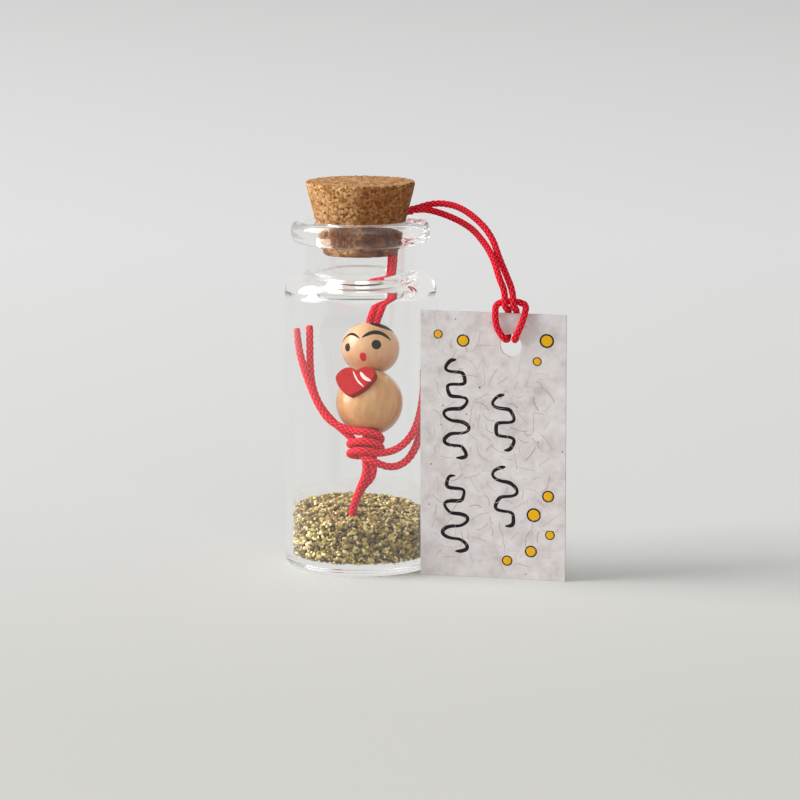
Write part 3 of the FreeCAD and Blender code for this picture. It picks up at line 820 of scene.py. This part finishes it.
def inner_strand(name, material, side, neck_points, leg_points, nodes):
    """One strand from the rim down the neck, through both beads and the knot, into the granules."""
    below_mouth = BOTTLE_HEIGHT - MOUTH_ROUNDING - STRAIGHT_NECK
    start = [
        exit_point(side, RIM_REACH, OVER_MOUTH + EXIT_RISE),
        exit_point(side, NECK_STRAND_RADIUS + EXIT_TURN_REACH, OVER_MOUTH + EXIT_TURN_RISE),
        exit_point(side, NECK_STRAND_RADIUS, OVER_MOUTH - EXIT_TURN_DROP),
        exit_point(side, NECK_STRAND_RADIUS, OVER_MOUTH - EXIT_STRAIGHT),
        exit_point(side, NECK_STRAND_RADIUS, below_mouth),
    ]
    through = [strand_at(-side, place) for place in (HEAD_TOP, BODY_TOP, STRAND_END)]
    lead = [strand_at(-side, STRAND_END - body_axis * LEG_LEAD)]
    route = start + in_metres(neck_points) + through + lead + in_metres(leg_points)
    mesh, line, length = braided_tube(name, route, LOOSE_RADIUS)
    strand = piece(name, mesh, material, "bottle", nodes)
    return strand


def waist_cords(material):
    """The cord tied round the waist: its wraps and the four ends that are the doll's arms."""
    side = Vector((1, 0, 0))
    back = body_axis.cross(side)
    centre = KNOT_TOP - side * KNOT_SIDE_OFFSET - body_axis * CORD_RADIUS
    wraps = []
    for step in range(int(KNOT_TURNS * KNOT_POINTS_PER_TURN) + 1):
        turn = step / KNOT_POINTS_PER_TURN
        angle = KNOT_START + 2 * math.pi * turn
        around = side * math.cos(angle) + back * math.sin(angle)
        wraps.append(centre + around * KNOT_COIL_RADIUS - body_axis * (KNOT_PITCH * turn))
    wound = in_metres(LEFT_OUTER[:0:-1]) + wraps + in_metres(RIGHT_UPPER[1:])
    passed = in_metres(LEFT_INNER[::-1] + INSIDE_KNOT + RIGHT_LOWER)
    for name, route, nodes in (
        ("waist_cord_wound", wound, ["left_arm_outer", "waist_knot", "right_arm_upper"]),
        ("waist_cord_passed", passed, ["left_arm_inner", "right_arm_lower"]),
    ):
        mesh, line, length = braided_tube(name, route, LOOSE_RADIUS)
        tied = piece(name, mesh, material, "bottle", nodes)


def on_tag(across, forward, height):
    """A point given by its distance from the tag's left edge, front face and bottom edge."""
    return TAG_CORNER + Matrix.Rotation(-TAG_TURN, 3, "Z") @ Vector((across, -forward, height))


def hang_loop(material, carried):
    """The cord's loop outside: both strands from the rim and the hitch on the tag, in one length."""
    hole_height = TAG_HEIGHT - TAG_HOLE_FROM_TOP
    over = TAG_HEIGHT + HITCH_OVER_EDGE
    through = hole_height + HITCH_IN_HOLE
    lead_rise = EXIT_RISE * (1 + EXIT_LEAD / (RIM_REACH - NECK_STRAND_RADIUS))

    def strand(side, points):
        """A strand from the rim out to the tag."""
        return [
            exit_point(side, RIM_REACH, OVER_MOUTH + EXIT_RISE),
            exit_point(side, RIM_REACH + EXIT_LEAD, OVER_MOUTH + lead_rise),
        ] + in_metres(points)

    def half_hitch(side, legs, bar):
        """The cord over the tag's edge, down behind it, through the hole and up to the bar in front."""
        across = TAG_HOLE_FROM_LEFT + side * HITCH_SPACING / 2
        over_edge = [
            on_tag(across, HITCH_FRONT, TAG_HEIGHT + HITCH_PIVOT),
            on_tag(across, HITCH_FRONT, over),
            on_tag(across, HITCH_BEHIND, over),
            on_tag(across, HITCH_BEHIND, through),
            on_tag(across, HITCH_LEG_FORWARD, through),
        ]
        leg = [on_tag(TAG_HOLE_FROM_LEFT + x * MM, HITCH_LEG_FORWARD, hole_height + z * MM) for x, z in legs]
        corner = on_tag(TAG_HOLE_FROM_LEFT + bar * MM, HITCH_BAR_FORWARD, TAG_HEIGHT + HITCH_BAR_RISE)
        return over_edge + leg + [corner]

    right = strand(1, HANG_UPPER) + half_hitch(1, HITCH_RIGHT, HITCH_BAR_RIGHT)
    left = strand(-1, HANG_LOWER) + half_hitch(-1, HITCH_LEFT, HITCH_BAR_LEFT)
    mesh, line, length = braided_tube("hang_loop", right + left[::-1], CORD_RADIUS)
    loop = piece("hang_loop", mesh, material, None,
                 ["hang_cord_upper", "hang_cord_lower", "tag_hitch"])
    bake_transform(loop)
    return loop


def bead_arc(radius, half):
    """Centre distance and radius of the arc that rounds a bead from lip to lip."""
    centre = (radius ** 2 - BEAD_LIP_RADIUS ** 2 - half ** 2) / (2 * (radius - BEAD_LIP_RADIUS))
    return centre, radius - centre


def bead_frame(centre, axis):
    """A matrix that puts a bead turned about Z on its axis, with its local -Y towards the viewer."""
    front = Vector((0, -1, 0))
    front = (front - axis * front.dot(axis)).normalized()
    right = axis.cross(front)
    return Matrix.Translation(centre) @ Matrix((right, -front, axis)).transposed().to_4x4()


def bead(name, material, body, centre, axis, radius, half, node):
    """A turned bead with a softened lip round each end of its hole."""
    offset, arc = bead_arc(radius, half)
    lip_angle = math.asin(half / arc)
    softened = BEAD_EDGE_ROUNDING * BEAD_EDGE_SHARE
    profile = [(BEAD_HOLE_RADIUS, 0),
               (BEAD_HOLE_RADIUS, -half + BEAD_EDGE_ROUNDING),
               (BEAD_HOLE_RADIUS + softened, -half + softened),
               (BEAD_HOLE_RADIUS + BEAD_EDGE_ROUNDING, -half)]
    for step in range(BEAD_ARC_STEPS + 1):
        angle = lip_angle * (2 * step / BEAD_ARC_STEPS - 1)
        profile.append((offset + arc * math.cos(angle), arc * math.sin(angle)))
    profile += [(BEAD_HOLE_RADIUS + BEAD_EDGE_ROUNDING, half),
                (BEAD_HOLE_RADIUS + softened, half - softened),
                (BEAD_HOLE_RADIUS, half - BEAD_EDGE_ROUNDING)]
    form = lathe(profile, True)
    form.transform(bead_frame(centre, axis))
    return piece(name, mesh_of(name, form), material, body, [node])


def dome_strip(name, surface, line, widths, height, material, body):
    """A stroke of paint on a surface: low at its edges, raised along its middle, closed at both ends."""
    shares = [(-1.0, PAINT_EDGE_SHARE), (-0.8, 0.6), (-0.35, 0.95),
              (0.35, 0.95), (0.8, 0.6), (1.0, PAINT_EDGE_SHARE)]
    vertices, faces = [], []
    for index, (place, width) in enumerate(zip(line, widths)):
        ahead = line[min(index + 1, len(line) - 1)] - line[max(index - 1, 0)]
        normal = Vector((-ahead.y, ahead.x)).normalized()
        for across, lift in shares:
            spot = place + normal * (across * width)
            vertices.append(surface(spot.x, spot.y, lift * height))
    count = len(shares)
    for index in range(len(line) - 1):
        for step in range(count - 1):
            first = index * count + step
            faces.append((first, first + 1, first + count + 1, first + count))
    return painted(name, vertices, faces, surface, material, body)


def painted(name, vertices, faces, surface, material, body):
    """A paint layer as a piece, with its faces turned away from what carries it."""
    mesh = bpy.data.meshes.new(name)
    mesh.from_pydata(vertices, [], faces)
    outward = surface(0, 0, MM) - surface(0, 0, 0)
    mesh.update()
    if sum(polygon.normal.dot(outward) * polygon.area for polygon in mesh.polygons) < 0:
        mesh.flip_normals()
    mesh.shade_smooth()
    return piece(name, mesh, material, body)


def dome_spot(name, surface, centre, half_sizes, height, material, body):
    """A round or oval spot of paint on a surface."""
    vertices = [surface(centre[0], centre[1], height)]
    faces = []
    for ring in range(1, SPOT_RINGS + 1):
        share = ring / SPOT_RINGS
        lift = height * (1 - SPOT_FALL_SHARE * share ** 4)
        for spoke in range(SPOT_SPOKES):
            angle = 2 * math.pi * spoke / SPOT_SPOKES
            vertices.append(surface(centre[0] + half_sizes[0] * share * math.cos(angle),
                                    centre[1] + half_sizes[1] * share * math.sin(angle), lift))
    for spoke in range(SPOT_SPOKES):
        follower = (spoke + 1) % SPOT_SPOKES
        faces.append((0, 1 + spoke, 1 + follower))
        for ring in range(SPOT_RINGS - 1):
            inner, outer = 1 + ring * SPOT_SPOKES, 1 + (ring + 1) * SPOT_SPOKES
            faces.append((inner + spoke, outer + spoke, outer + follower, inner + follower))
    return painted(name, vertices, faces, surface, material, body)


def on_head(across, height, lift):
    """A point on the head bead, from the middle of the face along its round and up its axis."""
    offset, arc = bead_arc(HEAD_BEAD_RADIUS, HEAD_BEAD_HALF)
    angle = across / HEAD_BEAD_RADIUS + FACE_TURN
    slope = math.asin(max(-1.0, min(1.0, height / arc)))
    reach = offset + (arc + lift) * math.cos(slope)
    local = Vector((reach * math.sin(angle), -reach * math.cos(angle), (arc + lift) * math.sin(slope)))
    return bead_frame(head_centre, head_axis) @ local


def face(black, red):
    """The painted face: two eyes, a red nose, two brows and a line of hair round the top."""
    # Places and sizes in both tables are in millimetres.
    for name, across, height, half_width, half_height, paint, slot in (
        ("eye_right", 2.27, -0.31, 0.77, 0.74, black, "bead_wood"),
        ("eye_left", -2.46, -0.56, 0.64, 0.64, black, "bead_wood"),
        ("nose", 0.2, -2.05, 0.64, 0.62, red, "heart_paint"),
    ):
        dome_spot(name, on_head, (across * MM, height * MM), (half_width * MM, half_height * MM),
                  PAINT_HEIGHT, paint, "head")
    for name, start, end, low, rise, width in (
        ("brow_left", -4.1, -0.25, 0.5, 0.9, 0.23),
        ("brow_right", 0.1, 4.6, 0.66, 0.92, 0.36),
    ):
        shares = [2 * step / BROW_STEPS - 1 for step in range(BROW_STEPS + 1)]
        line = [Vector((start + (end - start) * (share + 1) / 2, low + rise * (1 - share ** 2))) * MM
                for share in shares]
        widths = [width * MM * max(BROW_TIP_SHARE, (1 - share ** 2) ** 0.5) for share in shares]
        dome_strip(name, on_head, line, widths, PAINT_HEIGHT, black, "head")
    hair(black)


def hair(black):
    """Black paint round the top of the head, low at its right and back and run out at its left front."""
    vertices, faces = [], []
    lip = HEAD_BEAD_HALF
    for column in range(HAIR_COLUMNS + 1):
        share = column / HAIR_COLUMNS
        angle = HAIR_START + (HAIR_END - HAIR_START) * share
        low = HAIR_LOW + (lip - HAIR_LOW) * abs(2 * share - 1) ** 6
        for row in range(HAIR_ROWS + 1):
            height = lip + (low - lip) * row / HAIR_ROWS
            edge = PAINT_EDGE_SHARE if row == HAIR_ROWS or column in (0, HAIR_COLUMNS) else 1.0
            vertices.append(on_head(angle * HEAD_BEAD_RADIUS, height, PAINT_HEIGHT * edge))
    for column in range(HAIR_COLUMNS):
        for row in range(HAIR_ROWS):
            first = column * (HAIR_ROWS + 1) + row
            faces.append((first, first + 1, first + HAIR_ROWS + 2, first + HAIR_ROWS + 1))
    mesh = bpy.data.meshes.new("hair")
    mesh.from_pydata(vertices, [], faces)
    mesh.shade_smooth()
    return piece("hair", mesh, black, "head")


def on_heart(across, rise, lift):
    """A point on the heart's front, right and up from the middle of its seat."""
    right = UP.cross(HEART_FACING).normalized()
    return HEART_FACE + right * across + HEART_FACING.cross(right) * rise + HEART_FACING * lift


def heart(red, white):
    """The heart keeps its solid, with two white strokes on its right lobe as a painted highlight."""
    node = frame["nodes"]["heart"]
    node.data.materials.clear()
    node.data.materials.append(red)
    shares = [step / STROKE_STEPS for step in range(STROKE_STEPS + 1)]
    # Places and widths in millimetres
    for name, start, end, width in (
        ("heart_highlight_thin", (-0.8, 2.05), (2.0, -0.35), 0.14),
        ("heart_highlight_thick", (0.45, 2.0), (2.8, 0.7), 0.27),
    ):
        line = [Vector(start).lerp(Vector(end), share) * MM + STROKE_SAG * math.sin(math.pi * share)
                for share in shares]
        widths = [width * MM * max(STROKE_TIP_SHARE, 1 - (2 * share - 1) ** 4) for share in shares]
        dome_strip(name, on_heart, line, widths, PAINT_HEIGHT, white, "torso")


def crown(x, y):
    """Height of the heap's round top over a place on the bottle's floor."""
    away = (x + BED_CROWN_LEFT) ** 2 + (y - BED_CROWN_BACK) ** 2
    return BED_HEIGHT - BED_CROWN_RADIUS + math.sqrt(BED_CROWN_RADIUS ** 2 - away)


def bed_top(x, y):
    """Height of the heap with the larger granules that stand out of it in staggered rows."""
    row_spacing = LUMP_SPACING * math.sqrt(3) / 2
    row = round(y / row_spacing)
    shift = LUMP_SPACING * (row % 2) / 2
    lump = Vector((shift + LUMP_SPACING * round((x - shift) / LUMP_SPACING), row_spacing * row))
    top = crown(x, y)
    away = (Vector((x, y)) - lump).length
    if away < LUMP_RADIUS and lump.length < INNER_RADIUS - BED_GAP - LUMP_RADIUS:
        top = max(top, crown(*lump) + LUMP_RISE - LUMP_RADIUS + math.sqrt(LUMP_RADIUS ** 2 - away ** 2))
    return top


def heap_form(inset):
    """The heap's shape as a bmesh, with its surface moved inwards for the chips that lie on it."""
    form = bmesh.new()
    radius = INNER_RADIUS - BED_GAP - inset
    floor = BASE_THICKNESS + BED_GAP + inset
    middle = form.verts.new((0, 0, bed_top(0, 0) - inset))
    rows = []
    for ring in range(1, HEAP_RINGS + 1):
        reach = radius * ring / HEAP_RINGS
        row = []
        for spoke in range(HEAP_SPOKES):
            angle = 2 * math.pi * spoke / HEAP_SPOKES
            x, y = reach * math.cos(angle), reach * math.sin(angle)
            row.append(form.verts.new((x, y, bed_top(x, y) - inset)))
        rows.append(row)
    edge = [vertex.co.copy() for vertex in rows[-1]]
    for level in range(1, HEAP_LEVELS + 1):
        share = level / HEAP_LEVELS
        rows.append([form.verts.new((top.x, top.y, top.z + (floor - top.z) * share)) for top in edge])
    bottom = form.verts.new((0, 0, floor))
    for spoke in range(HEAP_SPOKES):
        follower = (spoke + 1) % HEAP_SPOKES
        form.faces.new((middle, rows[0][spoke], rows[0][follower]))
        form.faces.new((bottom, rows[-1][follower], rows[-1][spoke]))
        for upper, lower in zip(rows, rows[1:]):
            form.faces.new((upper[spoke], lower[spoke], lower[follower], upper[follower]))
    bmesh.ops.recalc_face_normals(form, faces=form.faces)
    return form


def grit_tree(material):
    """Nodes that strew four kinds of chip over a heap, each lying with a tilt, size and tone of its own."""
    tree, given = node_group("scatter_grit", ("Chip Radius", "Chip Spacing"))
    spots = add_node(tree, "GeometryNodeDistributePointsOnFaces", {
        "Mesh": given.outputs["Geometry"], "Distance Min": given.outputs["Chip Spacing"],
        "Density Max": GRAINS_PER_SQUARE_METRE, "Density Factor": 1.0, "Seed": 11},
        distribute_method="POISSON")
    kinds = add_node(tree, "GeometryNodeGeometryToInstance")
    for seed in (0.0, 3.7, 8.1, 12.9):
        ball = add_node(tree, "GeometryNodeMeshIcoSphere", {
            "Radius": given.outputs["Chip Radius"], "Subdivisions": 1})
        place = add_node(tree, "GeometryNodeInputPosition")
        moved = add_node(tree, "ShaderNodeVectorMath", {0: place.outputs[0], 1: (seed, seed, seed)})
        lumps = add_node(tree, "ShaderNodeTexNoise", {
            "Vector": moved.outputs[0], "Scale": 1 / GRAIN_LUMP_SIZE})
        centred = add_node(tree, "ShaderNodeVectorMath", {
            0: lumps.outputs["Color"], 1: (0.5, 0.5, 0.5)}, operation="SUBTRACT")
        pushed = add_node(tree, "ShaderNodeVectorMath", {
            0: centred.outputs[0], "Scale": GRAIN_LUMP_DEPTH}, operation="SCALE")
        chip = add_node(tree, "GeometryNodeSetPosition", {
            "Geometry": ball.outputs["Mesh"], "Offset": pushed.outputs[0]})
        tree.links.new(chip.outputs[0], kinds.inputs[0])
    turn = add_node(tree, "FunctionNodeRandomValue", {
        0: (-GRAIN_TILT, -GRAIN_TILT, 0.0), 1: (GRAIN_TILT, GRAIN_TILT, FULL_TURN), "Seed": 5},
        data_type="FLOAT_VECTOR")
    lying = add_node(tree, "FunctionNodeRotateRotation", {
        "Rotation": spots.outputs["Rotation"], "Rotate By": turn.outputs[0]}, rotation_space="LOCAL")
    size = add_node(tree, "FunctionNodeRandomValue", {
        0: GRAIN_LEAST, 1: GRAIN_MOST, "Seed": 8}, data_type="FLOAT_VECTOR")
    chips = add_node(tree, "GeometryNodeInstanceOnPoints", {
        "Points": spots.outputs["Points"], "Instance": kinds.outputs[0], "Pick Instance": True,
        "Rotation": lying.outputs[0], "Scale": size.outputs[0]})
    shade = add_node(tree, "FunctionNodeRandomValue", {2: 0.0, 3: 0.85, "Seed": 21}, data_type="FLOAT")
    toned = add_node(tree, "GeometryNodeStoreNamedAttribute", {
        "Geometry": chips.outputs[0], "Name": "tone", "Value": shade.outputs[1]},
        data_type="FLOAT", domain="INSTANCE")
    real = add_node(tree, "GeometryNodeRealizeInstances", {"Geometry": toned.outputs[0]})
    # The core sinks below the chips and carries no tone, so it takes the grit's darkest browns: painted shade
    # in the gaps between chips.
    outward = add_node(tree, "GeometryNodeInputNormal")
    inwards = add_node(tree, "ShaderNodeVectorMath", {
        0: outward.outputs[0], "Scale": -CORE_DEPTH}, operation="SCALE")
    core = add_node(tree, "GeometryNodeSetPosition", {
        "Geometry": given.outputs["Geometry"], "Offset": inwards.outputs[0]})
    joined = add_node(tree, "GeometryNodeJoinGeometry")
    tree.links.new(core.outputs[0], joined.inputs[0])
    tree.links.new(real.outputs[0], joined.inputs[0])
    faceted = add_node(tree, "GeometryNodeSetShadeSmooth", {
        "Geometry": joined.outputs[0], "Shade Smooth": False})
    dressed = add_node(tree, "GeometryNodeSetMaterial", {
        "Geometry": faceted.outputs[0], "Material": material})
    add_node(tree, "NodeGroupOutput", {0: dressed.outputs[0]})
    return tree


def granules(material):
    """Chips of grit over a core of the heap's shape, whose dark colour is painted shade between the chips."""
    heap = link("granules", mesh_of("granules", heap_form(GRAIN_RADIUS * GRAIN_INSET_SHARE)))
    mesh = mesh_by_nodes(heap, grit_tree(material), {
        "Chip Radius": GRAIN_RADIUS, "Chip Spacing": GRAIN_SPACING})
    return piece("granules", mesh, material, "bottle", ["gold_granules"])


def on_paper(across, height, lift):
    """A point on the tag's front face."""
    return on_tag(across, lift, height)


def fibre_tree(material):
    """Nodes that strew four kinds of bent fibre over a sheet, each with a turn, size and tint of its own."""
    tree, given = node_group("strew_fibres", ("Fibre Length", "Fibre Radius", "Fibre Spacing"))
    spots = add_node(tree, "GeometryNodeDistributePointsOnFaces", {
        "Mesh": given.outputs["Geometry"], "Distance Min": given.outputs["Fibre Spacing"],
        "Density Max": FIBRES_PER_SQUARE_METRE, "Density Factor": 1.0, "Seed": 4},
        distribute_method="POISSON")
    outline = add_node(tree, "GeometryNodeCurvePrimitiveCircle", {
        "Resolution": 4, "Radius": given.outputs["Fibre Radius"]})
    kinds = add_node(tree, "GeometryNodeGeometryToInstance")
    for bend in (-0.22, -0.06, 0.12, 0.3):
        start, middle, end = [
            add_node(tree, "ShaderNodeVectorMath", {
                0: place, "Scale": given.outputs["Fibre Length"]}, operation="SCALE")
            for place in ((-0.5, 0, 0), (0.1, bend, 0), (0.5, 0, 0))]
        arc = add_node(tree, "GeometryNodeCurveQuadraticBezier", {
            "Resolution": 6, "Start": start.outputs[0], "Middle": middle.outputs[0], "End": end.outputs[0]})
        rod = add_node(tree, "GeometryNodeCurveToMesh", {
            "Curve": arc.outputs[0], "Profile Curve": outline.outputs[0], "Fill Caps": True})
        tree.links.new(rod.outputs[0], kinds.inputs[0])
    size = add_node(tree, "FunctionNodeRandomValue", {
        0: FIBRE_LEAST, 1: FIBRE_MOST, "Seed": 8}, data_type="FLOAT_VECTOR")
    fibres = add_node(tree, "GeometryNodeInstanceOnPoints", {
        "Points": spots.outputs["Points"], "Instance": kinds.outputs[0], "Pick Instance": True,
        "Rotation": spots.outputs["Rotation"], "Scale": size.outputs[0]})
    turn = add_node(tree, "FunctionNodeRandomValue", {
        0: (0, 0, 0), 1: (0, 0, FULL_TURN), "Seed": 5}, data_type="FLOAT_VECTOR")
    turned = add_node(tree, "GeometryNodeRotateInstances", {
        "Instances": fibres.outputs[0], "Rotation": turn.outputs[0]})
    shade = add_node(tree, "FunctionNodeRandomValue", {2: 0.0, 3: 1.0, "Seed": 21}, data_type="FLOAT")
    toned = add_node(tree, "GeometryNodeStoreNamedAttribute", {
        "Geometry": turned.outputs[0], "Name": "tint", "Value": shade.outputs[1]},
        data_type="FLOAT", domain="INSTANCE")
    real = add_node(tree, "GeometryNodeRealizeInstances", {"Geometry": toned.outputs[0]})
    dressed = add_node(tree, "GeometryNodeSetMaterial", {
        "Geometry": real.outputs[0], "Material": material})
    add_node(tree, "NodeGroupOutput", {0: dressed.outputs[0]})
    return tree


def tag_fibres(material):
    """Fibres laid into both faces of the tag, clear of its edges and of the cord at its hole."""
    sheets = bmesh.new()
    for forward in (0.0, -TAG_THICKNESS):
        for left, right, low, high in (
            (FIBRE_MARGIN, TAG_WIDTH - FIBRE_MARGIN, FIBRE_MARGIN, TAG_HEIGHT - FIBRE_BELOW_HOLE),
            (FIBRE_MARGIN, FIBRE_BESIDE_HOLE, TAG_HEIGHT - FIBRE_BELOW_HOLE, TAG_HEIGHT - FIBRE_MARGIN),
        ):
            places = [(left, low), (right, low), (right, high), (left, high)]
            corners = [sheets.verts.new(on_tag(across, forward, height)) for across, height in places]
            sheets.faces.new(corners if forward == 0 else corners[::-1])
    strewn = link("tag_fibres", mesh_of("tag_fibres", sheets))
    mesh = mesh_by_nodes(strewn, fibre_tree(material), {
        "Fibre Length": FIBRE_LENGTH, "Fibre Radius": FIBRE_RADIUS, "Fibre Spacing": FIBRE_SPACING})
    return piece("tag_fibres", mesh, material, "tag")


def wavy_line(name, ink, across, low, high, waves, shift):
    """One wavy pen line up the tag's front, with a swing and a width that change along it."""
    steps = WAVE_STEPS * waves
    line, widths = [], []
    for step in range(steps + 1):
        share = step / steps
        phase = 2 * math.pi * waves * share
        swing = WAVE_SWING + WAVE_CHANGE * math.sin(WAVE_CHANGE_RATE * phase + shift)
        rise = low + (high - low) * share - WAVE_SLANT * math.sin(2 * phase)
        line.append(Vector((across + swing * math.sin(phase), rise)))
        pointed = min(1.0, PEN_TIP_SHARE + PEN_TIP_GROWTH * min(step, steps - step))
        widths.append((PEN_WIDTH + PEN_WOBBLE * math.sin(step * PEN_WOBBLE_RATE)) * pointed)
    return dome_strip(name, on_paper, line, widths, INK_HEIGHT, ink, "tag")


def tag(paper, fibre, ink, yellow):
    """The paper tag, its fibres, and plain wavy lines and dots drawn on its front."""
    node = frame["nodes"]["message_tag"]
    node.data.materials.clear()
    node.data.materials.append(paper)
    carried = [node]
    # Places and sizes in both tables are in millimetres.
    for index, (across, low, high, waves) in enumerate((
        (5.2, 3.6, 14.6, 3), (5.3, 17.2, 31.4, 4), (12.6, 7.6, 16.2, 2), (12.4, 18.6, 26.6, 2),
    )):
        carried.append(wavy_line(f"ink_line_{index}", ink, across * MM, low * MM, high * MM, waves, index))
    for index, (across, height, radius) in enumerate((
        (2.6, 35.0, 0.62), (6.3, 34.2, 0.85), (18.6, 34.6, 0.95), (17.2, 31.6, 0.6),
        (18.9, 12.2, 0.8), (16.8, 9.4, 0.95), (19.2, 6.6, 0.65), (16.4, 4.1, 0.8), (12.9, 2.6, 0.7),
    )):
        for name, width_share, height_share, lift_share, paint in (
            (f"dot_outline_{index}", 1.22, 1.16, 0.6, ink),
            (f"dot_{index}", 1.0, 0.96, 1.6, yellow),
        ):
            half_sizes = (radius * width_share * MM, radius * height_share * MM)
            carried.append(dome_spot(name, on_paper, (across * MM, height * MM), half_sizes,
                                     INK_HEIGHT * lift_share, paint, "tag"))
    carried.append(tag_fibres(fibre))
    return carried


def studio_world():
    """Soft light from all sides, with a plain pale background for the camera and in glass."""
    world = bpy.data.worlds.new("studio")
    bpy.context.scene.world = world
    world.use_nodes = True
    tree = world.node_tree
    tree.nodes.clear()
    path = add_node(tree, "ShaderNodeLightPath")
    ambient = add_node(tree, "ShaderNodeBackground", {"Color": linear("#F5F6F7"), "Strength": 0.4})
    seen = add_node(tree, "ShaderNodeBackground", {"Color": linear("#E2E1DE"), "Strength": 1.0})
    clear = add_node(tree, "ShaderNodeMath", {
        0: path.outputs["Is Glossy Ray"], 1: path.outputs["Is Transmission Ray"]}, operation="MAXIMUM")
    shown = add_node(tree, "ShaderNodeMath", {
        0: path.outputs["Is Camera Ray"], 1: clear.outputs[0]}, operation="MAXIMUM")
    mixed = add_node(tree, "ShaderNodeMixShader", {
        "Fac": shown.outputs[0], 1: ambient.outputs[0], 2: seen.outputs[0]})
    add_node(tree, "ShaderNodeOutputWorld", {"Surface": mixed.outputs[0]})


def studio_lamps():
    """A window-like light from the left and a soft fill from the front."""
    for name, place, width, height, power in (
        ("window", Vector((-2.6, 0.0, 1.3)), 2.2, 2.6, 105.0),
        ("fill", Vector((0.2, -2.1, 1.3)), 1.6, 1.6, 9.0),
    ):
        lamp = bpy.data.lights.new(name, "AREA")
        lamp.shape = "RECTANGLE"
        lamp.size = width
        lamp.size_y = height
        lamp.energy = power
        light = link(name, lamp)
        light.location = place
        light.rotation_euler = (LIGHT_TARGET - place).to_track_quat("-Z", "Y").to_euler()


def stage():
    """The pale floor, the light and the camera, with bounces enough for light to leave the glass."""
    form = bmesh.new()
    corners = ((-1, -1), (1, -1), (1, 1), (-1, 1))
    form.faces.new([form.verts.new((x * FLOOR_REACH, y * FLOOR_REACH, 0)) for x, y in corners])
    floor = link("floor", mesh_of("floor", form))
    floor.data.materials.append(studio_floor())
    studio_world()
    studio_lamps()
    lens = bpy.data.cameras.new("camera")
    lens.sensor_width = SENSOR_WIDTH
    lens.lens = LENS_LENGTH
    lens.clip_start = NEAREST_SEEN
    camera = link("camera", lens)
    camera.location = CAMERA_PLACE
    camera.rotation_euler = (CAMERA_TARGET - CAMERA_PLACE).to_track_quat("-Z", "Y").to_euler()
    bpy.context.scene.camera = camera
    bpy.context.scene.view_settings.view_transform = "Standard"
    bpy.context.scene.cycles.max_bounces = BOUNCES
    bpy.context.scene.cycles.transmission_bounces = BOUNCES
    bpy.context.scene.cycles.glossy_bounces = BOUNCES


red_cord = braided_cord()
black_paint = brushed_paint("black_acrylic", "#17120F", 0.45, 0.25)
red_paint = brushed_paint("red_acrylic", "#CE1F2C", 0.5, 0.12)
heart_red = brushed_paint("heart_acrylic", "#A4070B", 0.65, 0.22)
# White paint for the painted highlight on the heart's right lobe
highlight_paint = brushed_paint("highlight_acrylic", "#E6C4BA", 0.6, 0.08)
yellow_ink = brushed_paint("yellow_ink", "#EDB21C", 0.6, 0.08)
black_ink = brushed_paint("black_ink", "#211D22", 0.6, 0.15)

stage()
glass_bottle(clear_glass())
cork_stopper(pressed_cork())
inner_strand("strand_front", red_cord, -1, NECK_FRONT, LEG_BACK, ["neck_cord_front", "leg_back"])
inner_strand("strand_back", red_cord, 1, NECK_BACK, LEG_FRONT, ["neck_cord_back", "leg_front"])
waist_cords(red_cord)
bead("body", varnished_maple("varnished_maple_body", body_axis, "#D29E64", "#C48A50"), "torso",
     body_centre, body_axis, BODY_BEAD_RADIUS, BODY_BEAD_HALF, "body_bead")
bead("head", varnished_maple("varnished_maple_head", head_axis, "#DCAA7C", "#CE996A"), "head",
     head_centre, head_axis, HEAD_BEAD_RADIUS, HEAD_BEAD_HALF, "head_bead")
face(black_paint, red_paint)
heart(heart_red, highlight_paint)
granules(gold_grit())
hang_loop(red_cord, tag(handmade_paper(), paper_fibre(), black_ink, yellow_ink))

bpy.context.view_layer.update()
